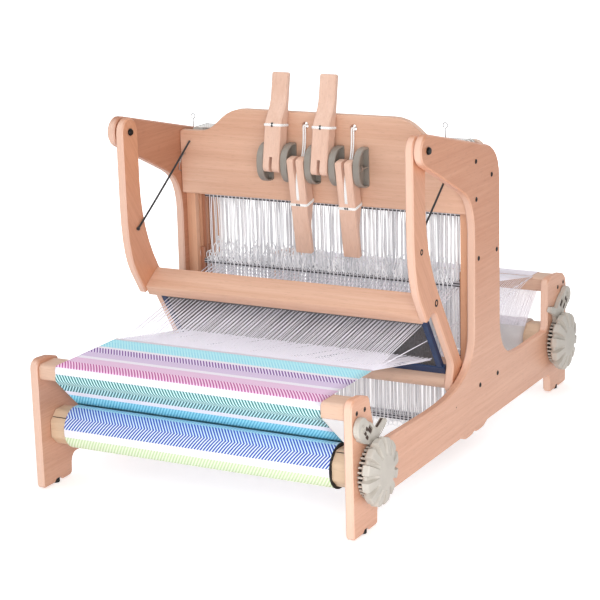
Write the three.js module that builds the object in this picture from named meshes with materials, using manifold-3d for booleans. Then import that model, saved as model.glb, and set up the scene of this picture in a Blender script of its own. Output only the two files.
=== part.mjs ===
// Table loom with four lever-lifted shafts and an overhead beater.
// Millimetres, +X to the weaver's right, +Y to the back, +Z up.
// Outlines are drawn with y = 0 at the front of the side frames and z = 0 under their wooden feet.
// The finished loom is then moved so that the origin is the middle of its footprint on the table.

import * as THREE from 'three';
import { mergeVertices } from 'three/addons/utils/BufferGeometryUtils.js';
import Module from 'manifold-3d';

const wasm = await Module();
wasm.setup();

// Overall frame
const WIDTH = 610;
const DEPTH = 942;
const PLATE = 15;
const EDGE_ROUND = 2.5;
const FIT_GAP = 0.3;
const FACET = 0.5;

// Posts, rail and feet of a side frame
const FOOT_BACK = 86;
const NOTCH_START = 34;
const NOTCH_LENGTH = 24;
const NOTCH_DEPTH = 5;
const RAIL_BOTTOM = 38;
const RAIL_TOP = 130;
const RAIL_LOW_Y = 290;
const POST_TOP = 229;
const POST_TOP_DEPTH = 64;
const POST_ROOT_DEPTH = 86;
const REAR_POST_DEPTH = 102;
const BUMP_DROP = 8;
const BUMP_START = 430;
const BUMP_LENGTH = 55;

// Castle and the arm that carries the beater
const CASTLE_FRONT = 488;
const CASTLE_BACK = 603;
const ARM_END_R = 27;
const ARM_UNDER_SLOPE = 0.465;
const ARM_TOP_SLOPE = 0.2335;
const PIVOT_Y = 297;
const PIVOT_Z = 573;

// Pivot bolts
const BOLT_R = 4;
const BOLT_HEAD_R = 6.5;
const BOLT_HEAD_H = 4;
const WASHER_R = 14;
const ARM_SIDE_GAP = 1.5;

// Beater: sizes in its own upright frame, measured from the pivot
const BEATER_LEAN = THREE.MathUtils.degToRad(33);
const ARM_PLATE = 15;
const ARM_TOP_R = 25;
const ARM_FRONT = -141;
const ARM_BACK = -78;
const STUB_BOTTOM = -268;
const STUB_BACK = -117;
const STRIP_FRONT = -107;
const TOE_FRONT = -138;
const TOE_TOP = -436;
const TOE_SLOPE_TOP = -410;
const ARM_BOTTOM = -455;
const TOP_RAIL_TOP = -255;
const TOP_RAIL_H = 23;
const TOP_RAIL_FRONT = -136;
const TOP_RAIL_DEPTH = 52;
const BOTTOM_RAIL_TOP = -428;
const BOTTOM_RAIL_H = 25;
const BOTTOM_RAIL_FRONT = -132;
const BOTTOM_RAIL_DEPTH = 57;
const RAIL_ROUND = 4;
const REED_Y = -110;
const REED_THICKNESS = 10;
const REED_GROOVE = 8;
const REED_BAND = 24;
const REED_END_BAR = 14;
const REED_SLOTS = 30;
const REED_WIRE = 4;

// Breast beam and back beam
const BEAM_SETBACK = 7;
const BEAM_DEPTH = 52;
const BEAM_H = 28;
const BEAM_TOP = 221;
const BEAM_ROUND = 7;

// Cloth beam, warp beam and what turns with them
const ROLLER_Y = 60;
const ROLLER_Z = 100;
const ROLLER_FLAT = 62;
const ROLLER_CORNER = 17;
const ROLLER_END_GAP = 1;
const JOURNAL_R = 9;
const CLOTH_ROLL_R = 37;
const WARP_ROLL_R = 38;
const RATCHET_R = 46;
const RATCHET_ROOT_R = 42;
const RATCHET_TEETH = 36;
const RATCHET_GAP = 1;
const RATCHET_W = 9;
const KNOB_R = 56;
const KNOB_NOTCH_R = 50;
const KNOB_LOBES = 12;
const KNOB_W = 22;

// Pawls
const PAWL_W = 8;
const PAWL_GAP = 0.7;
const PAWL_Y = 20;
const PAWL_Z = 182;
const PAWL_BOSS_R = 18;
const PAWL_BOSS_W = 10;

// Castle boards
const BOARD = 15;
const BOARD_SET_BACK = 0;
const BOARD_BOTTOM = 427;
const BOARD_SHOULDER = 546;
const BOARD_TOP = 591;
const BOARD_CREST_INSET = 112;
const BOARD_SHOULDER_INSET = 61;
const BOARD_ROUND = 1.5;
const REAR_BOARD_CORNER = 16;

// Levers and their brackets
const LEVER_COUNT = 4;
const LEVER_PITCH = 48.5;
const AXLE_Y = 457;
const AXLE_Z = 500.5;
const AXLE_R = 3;
const AXLE_PROUD = 0.5;
const LEVER_W = 33;
const LEVER_TIP = 165;
const LEVER_FORK = 15;
const LEVER_BACK = 13;
const LEVER_HANDLE = 11;
const LEVER_BLOCK = 74;
const LEVER_HANDLE_START = 112;
const LEVER_SLOT = 6;
const LEVER_TIE = 66;
const LEVER_UP_LEAN = THREE.MathUtils.degToRad(-10.5);
const LEVER_DOWN_TURN = THREE.MathUtils.degToRad(189);
const BRACKET_W = 13;
const BRACKET_H = 72;
const BRACKET_REACH = 42;
const BRACKET_WALL = 3;
const BRACKET_POCKET = 9;
const CORD_HOLE_Z = 568;
const CORD_HOLE_R = 6.3;

// Shafts, heddles and their guides
const SHAFT_SET_BACK = 15;
const SHAFT_PITCH = 11.5;
const SHAFT_THICKNESS = 5;
const EYE_OVER_BEAM = 3;
const SHAFT_H = 296;
const SHAFT_END_GAP = 1;
const SHAFT_FACE_GAP = 2.5;
const UPRIGHT_W = 16;
const ROD_H = 8;
const LOWER_ROD = 4;
const UPRIGHT_OVER_ROD = 22;
const SHAFT_LIFT = 126;
const GUIDE_BOTTOM = 96;
const GUIDE_BACK_INSET = 8;
const GUIDE_W = 18.7;
const GUIDE_GROOVE = 10;
const HEDDLE_END_ROOM = 8;
const HEDDLE_SHEET = 1.2;
const HEDDLE_CORD = 3;
const HEDDLE_SLOTS = 20;

// Pulleys and cords
const PULLEY_INSET = 12;
const PULLEY_Z = 540;
const PULLEY_R = 10;
const PULLEY_GROOVE_R = 6.8;
const PULLEY_PIN_R = 3;
const CORD_R = 1.25;
const ELASTIC_R = 2;
const ELASTIC_INSET = 21.7;
const ELASTIC_BOARD_Z = 526;
const ELASTIC_ARM = [-90, -152];

// Cloth and warp
const CLOTH_EDGE_ROOM = 39;
const CLOTH = 1.2;
const WARP = 0.8;
const FELL_Y = 194;
const WARP_STRIPS = 12;
const WARP_STRIP_W = 15;
const WARP_END_BAND = 8;

// Rubber feet
const RUBBER_R = 6.5;
const RUBBER_Y = 46;
const RUBBER_PROUD = 3;

// Values worked out from the sizes above
const HALF = WIDTH / 2;
const INNER = HALF - PLATE;
const ARM_OUTER = INNER - ARM_SIDE_GAP;
const ARM_INNER = ARM_OUTER - ARM_PLATE;
const BETWEEN = INNER - FIT_GAP;
const SHEET_GAP = FIT_GAP;
const CLOTH_HALF = INNER - CLOTH_EDGE_ROOM;
const GUIDE_INNER = BETWEEN - GUIDE_W;
const SHAFT_HALF = GUIDE_INNER + GUIDE_GROOVE - SHAFT_END_GAP;
const HEDDLE_HALF = SHAFT_HALF - UPRIGHT_W - HEDDLE_END_ROOM;
const PULLEY_X = SHAFT_HALF - PULLEY_INSET;
const UPPER_ROD = SHAFT_H - UPRIGHT_OVER_ROD - ROD_H;
const BOARD_FRONT_Y = CASTLE_FRONT + BOARD_SET_BACK;
const FIRST_SHAFT_Y = BOARD_FRONT_Y + BOARD + SHAFT_SET_BACK;
const LAST_SHAFT_Y = FIRST_SHAFT_Y + (LEVER_COUNT - 1) * SHAFT_PITCH;
const BOARD_BACK_Y = LAST_SHAFT_Y + SHAFT_THICKNESS / 2 + SHAFT_FACE_GAP;
const GUIDE_FRONT_Y = BOARD_FRONT_Y + BOARD;
const GUIDE_BACK_Y = CASTLE_BACK - GUIDE_BACK_INSET;
const AXLE_HALF = (LEVER_COUNT * LEVER_PITCH + BRACKET_W) / 2 + AXLE_PROUD;
const EYE_DOWN = BEAM_TOP + EYE_OVER_BEAM - SHAFT_LIFT / 2;
const EYE_UP = EYE_DOWN + SHAFT_LIFT;
const SHAFT_BOTTOM = EYE_DOWN - (LOWER_ROD + ROD_H + UPPER_ROD) / 2;

const BEECH = 0xd9ab87;
const PALE_WOOD = 0xdcc39a;
const PLASTIC = 0xb3aca1;
const GREY_PLASTIC = 0x8d8680;
const STEEL = 0x9a9a9c;
const BLACK = 0x1c1c1c;
const WHITE = 0xf3f2ee;
const NAVY = 0x24334f;

const loom = new THREE.Group();
const sideways = new THREE.Matrix4().makeBasis(
  new THREE.Vector3(0, 1, 0),
  new THREE.Vector3(0, 0, 1),
  new THREE.Vector3(1, 0, 0),
);

function addMesh(name, geometry, color, roughness, metalness = 0) {
  const material = new THREE.MeshStandardMaterial({ color, roughness, metalness });
  const mesh = new THREE.Mesh(geometry, material);
  mesh.name = name;
  loom.add(mesh);
  return mesh;
}

// A closed outline from its corners: [u, v] is sharp, [u, v, radius] has a true arc,
// and [u, v, before, after] is a soft curve that starts and ends that far from the corner.
function outline(corners) {
  const path = new THREE.Path();
  const count = corners.length;
  for (let i = 0; i < count; i++) {
    const [u, v, first = 0, second] = corners[i];
    const corner = new THREE.Vector2(u, v);
    const before = new THREE.Vector2(...corners[(i + count - 1) % count].slice(0, 2));
    const after = new THREE.Vector2(...corners[(i + 1) % count].slice(0, 2));
    const toBefore = before.sub(corner).normalize();
    const toAfter = after.sub(corner).normalize();
    const go = i === 0 ? 'moveTo' : 'lineTo';
    if (first === 0) {
      path[go](u, v);
    } else if (second !== undefined) {
      const start = corner.clone().addScaledVector(toBefore, first);
      const end = corner.clone().addScaledVector(toAfter, second);
      path[go](start.x, start.y);
      path.quadraticCurveTo(u, v, end.x, end.y);
    } else {
      const half = Math.acos(THREE.MathUtils.clamp(toBefore.dot(toAfter), -1, 1)) / 2;
      const start = corner.clone().addScaledVector(toBefore, first / Math.tan(half));
      const end = corner.clone().addScaledVector(toAfter, first / Math.tan(half));
      const middle = toBefore.clone().add(toAfter).normalize();
      const centre = corner.clone().addScaledVector(middle, first / Math.sin(half));
      const a0 = Math.atan2(start.y - centre.y, start.x - centre.x);
      const a1 = Math.atan2(end.y - centre.y, end.x - centre.x);
      const clockwise = toBefore.cross(toAfter) > 0;
      path[go](start.x, start.y);
      path.absarc(centre.x, centre.y, first, a0, a1, clockwise);
    }
  }
  path.closePath();
  return path;
}

function circle(u, v, radius) {
  return new THREE.Path().absarc(u, v, radius, 0, 2 * Math.PI, false);
}

function pieceCount(curve) {
  if (curve.isLineCurve) return 1;
  const steps = 8;
  let turn = 0;
  let last = curve.getTangent(0);
  for (let i = 1; i <= steps; i++) {
    const next = curve.getTangent(i / steps);
    turn += last.angleTo(next);
    last = next;
  }
  const radius = Math.max(curve.getLength() / turn, 1);
  const step = 2 * Math.acos(1 - Math.min(FACET / radius, 0.25));
  if (turn > Math.PI) return Math.max(radius > 6 ? 20 : 12, Math.ceil(turn / step));
  return Math.max(turn < 0.8 ? 1 : 2, Math.ceil(turn / step));
}

// The points of an outline, with each curve cut into just enough straight pieces.
function facets(path) {
  const points = [];
  for (const curve of path.curves) {
    points.push(...curve.getPoints(pieceCount(curve)).slice(1));
  }
  return points.filter((point, i) => point.distanceTo(points.at(i - 1)) > 0.25);
}

function plateShape(path, holes = []) {
  const shape = new THREE.Shape(facets(path));
  shape.holes = holes.map((hole) => new THREE.Path(facets(hole)));
  return shape;
}

function extrude(shape, length, round = 0, bevelSegments = 1) {
  return new THREE.ExtrudeGeometry(shape, {
    depth: length - 2 * round,
    bevelEnabled: round > 0,
    bevelThickness: round,
    bevelSize: round,
    bevelOffset: -round,
    bevelSegments,
    curveSegments: 1,
    steps: 1,
  }).translate(0, 0, round);
}

// A shape drawn in (y, z) with its thickness along +X, and one drawn in (x, z) along +Y.
function alongX(shape, x, length, round, bevelSegments) {
  return extrude(shape, length, round, bevelSegments).applyMatrix4(sideways).translate(x, 0, 0);
}

function alongY(shape, y, length, round, bevelSegments) {
  return extrude(shape, length, round, bevelSegments).rotateX(Math.PI / 2).translate(0, y + length, 0);
}

function latheX(profile, segments, y, z) {
  const points = profile.map(([radius, along]) => new THREE.Vector2(radius, along));
  return new THREE.LatheGeometry(points, segments).rotateZ(-Math.PI / 2).translate(0, y, z);
}

function toSolid(geometry) {
  const bare = geometry.index ? geometry.toNonIndexed() : geometry.clone();
  bare.deleteAttribute('normal');
  bare.deleteAttribute('uv');
  const merged = mergeVertices(bare, 1e-4);
  return new wasm.Manifold(new wasm.Mesh({
    numProp: 3,
    vertProperties: new Float32Array(merged.attributes.position.array),
    triVerts: new Uint32Array(merged.index.array),
  }));
}

function fromSolid(solid) {
  const mesh = solid.getMesh();
  const geometry = new THREE.BufferGeometry();
  geometry.setAttribute('position', new THREE.BufferAttribute(mesh.vertProperties, 3));
  geometry.setIndex(new THREE.BufferAttribute(mesh.triVerts, 1));
  return geometry;
}

function unite(...pieces) {
  return fromSolid(pieces.map(toSolid).reduce((whole, piece) => whole.add(piece)));
}

function cut(body, ...tools) {
  return fromSolid(tools.map(toSolid).reduce((whole, tool) => whole.subtract(tool), toSolid(body)));
}

// A straight-stepped route: the rings of a cord stand exactly on its points.
class Route extends THREE.Curve {
  constructor(points) {
    super();
    this.points = points.map((point) => new THREE.Vector3(...point));
  }

  getPoint(t) {
    const last = this.points.length - 1;
    const place = THREE.MathUtils.clamp(t, 0, 1) * last;
    const i = Math.min(Math.floor(place), last - 1);
    return this.points[i].clone().lerp(this.points[i + 1], place - i);
  }

  getUtoTmapping(u) {
    return u;
  }
}

function cord(points, radius, sides = 8) {
  const section = [];
  for (let i = 0; i < sides; i++) {
    const angle = (2 * Math.PI * i) / sides;
    section.push(new THREE.Vector2(radius * Math.cos(angle), radius * Math.sin(angle)));
  }
  return new THREE.ExtrudeGeometry(new THREE.Shape(section), {
    steps: points.length - 1,
    bevelEnabled: false,
    extrudePath: new Route(points),
    curveSegments: 1,
  });
}

// A sheet of even thickness along a line of (y, z) points.
function ribbon(line, thickness) {
  const near = [];
  const far = [];
  line.forEach((point, i) => {
    const here = new THREE.Vector2(...point);
    const before = new THREE.Vector2(...line[Math.max(i - 1, 0)]);
    const after = new THREE.Vector2(...line[Math.min(i + 1, line.length - 1)]);
    const along = here.clone().sub(before).normalize().add(after.sub(here).normalize()).normalize();
    const normal = new THREE.Vector2(-along.y, along.x).multiplyScalar(thickness / 2);
    near.push(here.clone().add(normal));
    far.unshift(here.clone().sub(normal));
  });
  return new THREE.Shape([...near, ...far]);
}

// A point of the upright beater frame, at the lean that the beater rests at.
function leaned(y, z) {
  return [
    PIVOT_Y + y * Math.cos(BEATER_LEAN) - z * Math.sin(BEATER_LEAN),
    PIVOT_Z + y * Math.sin(BEATER_LEAN) + z * Math.cos(BEATER_LEAN),
  ];
}

function meet(a, b, c, d) {
  const u = [b[0] - a[0], b[1] - a[1]];
  const v = [d[0] - c[0], d[1] - c[1]];
  const t = ((c[0] - a[0]) * v[1] - (c[1] - a[1]) * v[0]) / (u[0] * v[1] - u[1] * v[0]);
  return [a[0] + t * u[0], a[1] + t * u[1]];
}

// Side frames: front post, rail, castle with the beater's arm, and rear post in one plate.
const armTurnUnder = ARM_END_R * Math.hypot(1, ARM_UNDER_SLOPE);
const armTurnTop = ARM_END_R * Math.hypot(1, ARM_TOP_SLOPE);
const armNose = PIVOT_Y - ARM_END_R;

function armUnder(y) {
  return PIVOT_Z - armTurnUnder - ARM_UNDER_SLOPE * (y - PIVOT_Y);
}

function armTop(y) {
  return PIVOT_Z + armTurnTop - ARM_TOP_SLOPE * (y - PIVOT_Y);
}

function footNotch(start) {
  return [
    [start, 0, 3.5],
    [start + 5, NOTCH_DEPTH, 2],
    [start + NOTCH_LENGTH - 5, NOTCH_DEPTH, 2],
    [start + NOTCH_LENGTH, 0, 3.5],
  ];
}

const bumpZ = RAIL_BOTTOM - BUMP_DROP;
const bumpEnd = BUMP_START + 2 * BUMP_LENGTH;
const bumpMiddle = BUMP_START + BUMP_LENGTH;
const standBumps = [
  [BUMP_START, RAIL_BOTTOM, 6, 6],
  [BUMP_START + 14, bumpZ, 8, 10],
  [bumpMiddle - 9, bumpZ, 10, 7],
  [bumpMiddle, RAIL_BOTTOM - 1, 3, 3],
  [bumpMiddle + 9, bumpZ, 7, 10],
  [bumpEnd - 14, bumpZ, 10, 8],
  [bumpEnd, RAIL_BOTTOM, 6, 6],
];

const rearPost = DEPTH - REAR_POST_DEPTH;
const rearNotch = DEPTH - NOTCH_START - NOTCH_LENGTH;
const frameCorners = [
  [0, 0, 7],
  ...footNotch(NOTCH_START),
  [FOOT_BACK, 0, 8],
  [FOOT_BACK + 2, RAIL_BOTTOM, 15],
  ...standBumps,
  [rearPost + 14, RAIL_BOTTOM, 15],
  [rearPost + 16, 0, 8],
  ...footNotch(rearNotch),
  [DEPTH, 0, 7],
  [DEPTH, POST_TOP - 5, 26],
  [rearPost + 26, POST_TOP + 3, 20, 10],
  [rearPost, POST_TOP - 1, 14],
  [rearPost, RAIL_TOP, 12],
  [CASTLE_BACK, RAIL_TOP, 100, 85],
  [CASTLE_BACK, armTop(CASTLE_BACK), 58, 58],
  [armNose, armTop(armNose), ARM_END_R],
  [armNose, armUnder(armNose), ARM_END_R],
  [CASTLE_FRONT, armUnder(CASTLE_FRONT), 54, 66],
  [CASTLE_FRONT - 4, RAIL_TOP - 3, 90, 170],
  [RAIL_LOW_Y - 6, RAIL_TOP - 3, 8],
  [POST_ROOT_DEPTH + 4, RAIL_TOP + 2, 22, 50],
  [POST_TOP_DEPTH, POST_TOP - 7, 6],
  [POST_TOP_DEPTH - 22, POST_TOP - 1, 6],
  [0, POST_TOP + 2, 16],
];
const frameShape = plateShape(outline(frameCorners), [
  circle(PIVOT_Y, PIVOT_Z, BOLT_R + 2 * FIT_GAP),
  circle(ROLLER_Y, ROLLER_Z, JOURNAL_R + 2 * FIT_GAP),
  circle(DEPTH - ROLLER_Y, ROLLER_Z, JOURNAL_R + 2 * FIT_GAP),
]);
addMesh('left_side_frame', alongX(frameShape, -HALF, PLATE, EDGE_ROUND), BEECH, 0.55);
addMesh('right_side_frame', alongX(frameShape, INNER, PLATE, EDGE_ROUND), BEECH, 0.55);

// Rubber feet in the notches under the posts.
function rubberFoot(name, x, y) {
  const top = NOTCH_DEPTH - FIT_GAP;
  const profile = [
    [0, -RUBBER_PROUD],
    [RUBBER_R - 1, -RUBBER_PROUD],
    [RUBBER_R, 1 - RUBBER_PROUD],
    [RUBBER_R, top],
    [0, top],
  ].map(([radius, z]) => new THREE.Vector2(radius, z));
  const geometry = new THREE.LatheGeometry(profile, 12).rotateX(Math.PI / 2);
  addMesh(name, geometry.translate(x, y, 0), BLACK, 0.9);
}

const plateMiddle = HALF - PLATE / 2;
rubberFoot('front_left_foot', -plateMiddle, RUBBER_Y);
rubberFoot('front_right_foot', plateMiddle, RUBBER_Y);
rubberFoot('rear_left_foot', -plateMiddle, DEPTH - RUBBER_Y);
rubberFoot('rear_right_foot', plateMiddle, DEPTH - RUBBER_Y);

// Breast beam and back beam between the posts.
function beamShape(front) {
  return plateShape(outline([
    [front, BEAM_TOP - BEAM_H, BEAM_ROUND],
    [front + BEAM_DEPTH, BEAM_TOP - BEAM_H, BEAM_ROUND],
    [front + BEAM_DEPTH, BEAM_TOP, BEAM_ROUND],
    [front, BEAM_TOP, BEAM_ROUND],
  ]));
}

const backBeamFront = DEPTH - BEAM_SETBACK - BEAM_DEPTH;
addMesh('breast_beam', alongX(beamShape(BEAM_SETBACK), -BETWEEN, 2 * BETWEEN), BEECH, 0.5);
addMesh('back_beam', alongX(beamShape(backBeamFront), -BETWEEN, 2 * BETWEEN), BEECH, 0.5);

// Castle boards: the front one has low shoulders, a raised crest and holes for the lift cords.
function leverX(index) {
  return (index - (LEVER_COUNT - 1) / 2) * LEVER_PITCH;
}

const shoulderX = INNER - BOARD_SHOULDER_INSET;
const crestX = INNER - BOARD_CREST_INSET;
const boardOutline = outline([
  [-BETWEEN, BOARD_BOTTOM, 2],
  [BETWEEN, BOARD_BOTTOM, 2],
  [BETWEEN, BOARD_SHOULDER, 4],
  [shoulderX, BOARD_SHOULDER, 20, 22],
  [crestX, BOARD_TOP, 28, 28],
  [-crestX, BOARD_TOP, 28, 28],
  [-shoulderX, BOARD_SHOULDER, 22, 20],
  [-BETWEEN, BOARD_SHOULDER, 4],
]);
const cordHoles = [];
for (let i = 0; i < LEVER_COUNT; i++) cordHoles.push(circle(leverX(i), CORD_HOLE_Z, CORD_HOLE_R));
const frontBoard = alongY(plateShape(boardOutline, cordHoles), BOARD_FRONT_Y, BOARD, BOARD_ROUND);
addMesh('castle_front_board', frontBoard, BEECH, 0.55);
const rearOutline = outline([
  [-BETWEEN, BOARD_BOTTOM, 2],
  [BETWEEN, BOARD_BOTTOM, 2],
  [BETWEEN, BOARD_SHOULDER, REAR_BOARD_CORNER],
  [-BETWEEN, BOARD_SHOULDER, REAR_BOARD_CORNER],
]);
const rearBoard = alongY(plateShape(rearOutline), BOARD_BACK_Y, BOARD, BOARD_ROUND);
addMesh('castle_rear_board', rearBoard, BEECH, 0.55);

// Shaft guides: uprights inside the castle with a groove for each shaft.
const shaftY = [];
for (let i = 0; i < LEVER_COUNT; i++) shaftY.push(FIRST_SHAFT_Y + i * SHAFT_PITCH);
const grooveHalf = SHAFT_THICKNESS / 2 + 0.5;

function guideGeometry(side) {
  const open = side * GUIDE_INNER;
  const floor = side * (GUIDE_INNER + GUIDE_GROOVE);
  const points = [[open, GUIDE_FRONT_Y]];
  for (const y of shaftY) {
    points.push([open, y - grooveHalf], [floor, y - grooveHalf]);
    points.push([floor, y + grooveHalf], [open, y + grooveHalf]);
  }
  points.push([open, GUIDE_BACK_Y], [side * BETWEEN, GUIDE_BACK_Y], [side * BETWEEN, GUIDE_FRONT_Y]);
  const section = new THREE.Shape(points.map(([x, y]) => new THREE.Vector2(x, y)));
  return extrude(section, BOARD_BOTTOM - FIT_GAP - GUIDE_BOTTOM).translate(0, 0, GUIDE_BOTTOM);
}

addMesh('left_shaft_guide', guideGeometry(-1), PALE_WOOD, 0.6);
addMesh('right_shaft_guide', guideGeometry(1), PALE_WOOD, 0.6);

// Shafts: two uprights joined by an upper and a lower rod, with the heddles between the rods.
function isRaised(index) {
  return index % 2 === 1;
}

function shaftLow(index) {
  return SHAFT_BOTTOM + (isRaised(index) ? SHAFT_LIFT : 0);
}

function rectangle(left, bottom, right, top) {
  return outline([[left, bottom], [right, bottom], [right, top], [left, top]]);
}

function shaftGeometry(index) {
  const low = shaftLow(index);
  const inner = SHAFT_HALF - UPRIGHT_W;
  const shape = plateShape(outline([
    [-SHAFT_HALF, low, 3],
    [-inner, low, 3],
    [-inner, low + LOWER_ROD],
    [inner, low + LOWER_ROD],
    [inner, low, 3],
    [SHAFT_HALF, low, 3],
    [SHAFT_HALF, low + SHAFT_H, 3],
    [inner, low + SHAFT_H, 3],
    [inner, low + UPPER_ROD + ROD_H],
    [-inner, low + UPPER_ROD + ROD_H],
    [-inner, low + SHAFT_H, 3],
    [-SHAFT_HALF, low + SHAFT_H, 3],
  ]), [rectangle(-inner, low + LOWER_ROD + ROD_H, inner, low + UPPER_ROD)]);
  return alongY(shape, shaftY[index] - SHAFT_THICKNESS / 2, SHAFT_THICKNESS);
}

function block(left, right, front, back, bottom, top) {
  const geometry = new THREE.BoxGeometry(right - left, back - front, top - bottom);
  return geometry.translate((left + right) / 2, (front + back) / 2, (bottom + top) / 2);
}

// A flat grating: a sheet with even upright slots, seen from the front.
function grating(half, bottom, top, y, thickness, side, band, bar, count) {
  const pitch = (2 * (half - side) + bar) / count;
  const slots = [];
  for (let i = 0; i < count; i++) {
    const left = -half + side + i * pitch;
    slots.push(block(left, left + pitch - bar, y - thickness, y + thickness, bottom + band, top - band));
  }
  return cut(block(-half, half, y - thickness / 2, y + thickness / 2, bottom, top), ...slots);
}

function heddleGeometry(index) {
  const bottom = shaftLow(index) + LOWER_ROD + ROD_H + FIT_GAP;
  const top = shaftLow(index) + UPPER_ROD - FIT_GAP;
  const cordW = HEDDLE_CORD;
  return grating(HEDDLE_HALF, bottom, top, shaftY[index], HEDDLE_SHEET, cordW, cordW, cordW, HEDDLE_SLOTS);
}

for (let i = 0; i < LEVER_COUNT; i++) {
  addMesh(`shaft_${i + 1}`, shaftGeometry(i), PALE_WOOD, 0.5);
  addMesh(`heddles_${i + 1}`, heddleGeometry(i), WHITE, 0.8);
}

// Lever brackets: D-shaped plastic cheeks with a hollow side, on the front board.
const bracketBack = BOARD_FRONT_Y - FIT_GAP;

function bracketOutline(wall) {
  return outline([
    [bracketBack - wall, AXLE_Z - BRACKET_H / 2 + wall, 3],
    [bracketBack - wall, AXLE_Z + BRACKET_H / 2 - wall, 3],
    [bracketBack - BRACKET_REACH + wall, AXLE_Z + BRACKET_H / 2 - wall, 30 - wall],
    [bracketBack - BRACKET_REACH + wall, AXLE_Z - BRACKET_H / 2 + wall, 30 - wall],
  ]);
}

function bracketGeometry(x) {
  const bore = circle(AXLE_Y, AXLE_Z, AXLE_R + FIT_GAP);
  const boss = circle(AXLE_Y, AXLE_Z, AXLE_R + BRACKET_WALL);
  const body = alongX(plateShape(bracketOutline(0), [bore]), x - BRACKET_W / 2, BRACKET_W, 1);
  const floor = x + BRACKET_W / 2 - BRACKET_POCKET;
  const pocket = alongX(plateShape(bracketOutline(BRACKET_WALL), [boss]), floor, BRACKET_POCKET + 1);
  const rib = alongX(plateShape(rectangle(
    AXLE_Y + AXLE_R + 2,
    AXLE_Z - BRACKET_WALL / 2,
    bracketBack - 1,
    AXLE_Z + BRACKET_WALL / 2,
  )), floor - 1, BRACKET_POCKET);
  return unite(cut(body, pocket), rib);
}

for (let i = 0; i <= LEVER_COUNT; i++) {
  const x = leverX(i) - LEVER_PITCH / 2;
  addMesh(`lever_bracket_${i + 1}`, bracketGeometry(x), GREY_PLASTIC, 0.45);
}

const rod = [[0, -AXLE_HALF], [AXLE_R, -AXLE_HALF], [AXLE_R, AXLE_HALF], [0, AXLE_HALF]];
addMesh('lever_axle', latheX(rod, 12, AXLE_Y, AXLE_Z), STEEL, 0.3, 0.9);

// Levers: a forked block that thins to a flat handle, drawn standing up round the axle.
function leverGeometry() {
  const side = outline([
    [-LEVER_FORK, -LEVER_FORK, 9],
    [LEVER_BACK, -LEVER_FORK, 5],
    [LEVER_BACK, LEVER_TIP, 3],
    [LEVER_BACK - LEVER_HANDLE, LEVER_TIP, 3],
    [LEVER_BACK - LEVER_HANDLE, LEVER_HANDLE_START, 20, 8],
    [-LEVER_FORK, LEVER_BLOCK, 8, 6],
  ]);
  const bore = circle(0, 0, AXLE_R + FIT_GAP);
  const slot = plateShape(outline([
    [-LEVER_FORK - 1, -LEVER_FORK - 5],
    [LEVER_BACK + 1, -LEVER_FORK - 5],
    [LEVER_BACK + 1, LEVER_TIE],
    [-LEVER_FORK - 1, 10],
  ]));
  const block = alongX(plateShape(side, [bore]), -LEVER_W / 2, LEVER_W, 2);
  return cut(block, alongX(slot, -LEVER_SLOT / 2, LEVER_SLOT));
}

for (let i = 0; i < LEVER_COUNT; i++) {
  const lever = addMesh(`lever_${i + 1}`, leverGeometry(), BEECH, 0.5);
  lever.position.set(leverX(i), AXLE_Y, AXLE_Z);
  lever.rotation.x = isRaised(i) ? LEVER_DOWN_TURN : LEVER_UP_LEAN;
}

// Pulleys: four sheaves on a pin between the boards, at each end of the castle.
function pulleyGeometry(x) {
  const rim = SHAFT_PITCH / 2 - 1.5;
  const profile = [[0, BOARD_FRONT_Y + BOARD + FIT_GAP], [PULLEY_PIN_R, BOARD_FRONT_Y + BOARD + FIT_GAP]];
  for (const y of shaftY) {
    profile.push([PULLEY_PIN_R, y - rim], [PULLEY_R, y - rim], [PULLEY_GROOVE_R, y - 0.8]);
    profile.push([PULLEY_GROOVE_R, y + 0.8], [PULLEY_R, y + rim], [PULLEY_PIN_R, y + rim]);
  }
  profile.push([PULLEY_PIN_R, BOARD_BACK_Y - FIT_GAP], [0, BOARD_BACK_Y - FIT_GAP]);
  const points = profile.map(([radius, y]) => new THREE.Vector2(radius, y));
  return new THREE.LatheGeometry(points, 10).translate(x, 0, PULLEY_Z);
}

addMesh('left_pulleys', pulleyGeometry(-PULLEY_X), PLASTIC, 0.5);
addMesh('right_pulleys', pulleyGeometry(PULLEY_X), PLASTIC, 0.5);

// Lift cords: up from both ends of a shaft, over the pulleys, through the board to the lever.
const cordTurn = PULLEY_GROOVE_R + CORD_R + FIT_GAP;
const runZ = PULLEY_Z + cordTurn;

function shaftBranch(index, side) {
  const points = [[side * (PULLEY_X + cordTurn), shaftY[index], shaftLow(index) + SHAFT_H + FIT_GAP]];
  const turns = 4;
  for (let i = 0; i <= turns; i++) {
    const angle = (i / turns) * (Math.PI / 2);
    const x = side * (PULLEY_X + cordTurn * Math.cos(angle));
    points.push([x, shaftY[index], PULLEY_Z + cordTurn * Math.sin(angle)]);
  }
  points.push([leverX(index) - side, shaftY[index], runZ]);
  return cord(points, CORD_R);
}

function leverPoint(index, back, up) {
  const turn = isRaised(index) ? LEVER_DOWN_TURN : LEVER_UP_LEAN;
  return [
    leverX(index),
    AXLE_Y + back * Math.cos(turn) - up * Math.sin(turn),
    AXLE_Z + back * Math.sin(turn) + up * Math.cos(turn),
  ];
}

function leverBranch(index) {
  const x = leverX(index);
  const points = [
    [x, shaftY[index] + 0.6, runZ],
    [x, BOARD_FRONT_Y + BOARD, CORD_HOLE_Z],
    [x, BOARD_FRONT_Y, CORD_HOLE_Z],
  ];
  if (isRaised(index)) {
    points.push(leverPoint(index, 7, -LEVER_FORK));
    points.push(leverPoint(index, 7.5, 8));
    points.push(leverPoint(index, 11, LEVER_TIE - 9));
  } else {
    points.push([x, AXLE_Y + 29, CORD_HOLE_Z - 1]);
  }
  return cord(points, CORD_R);
}

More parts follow.
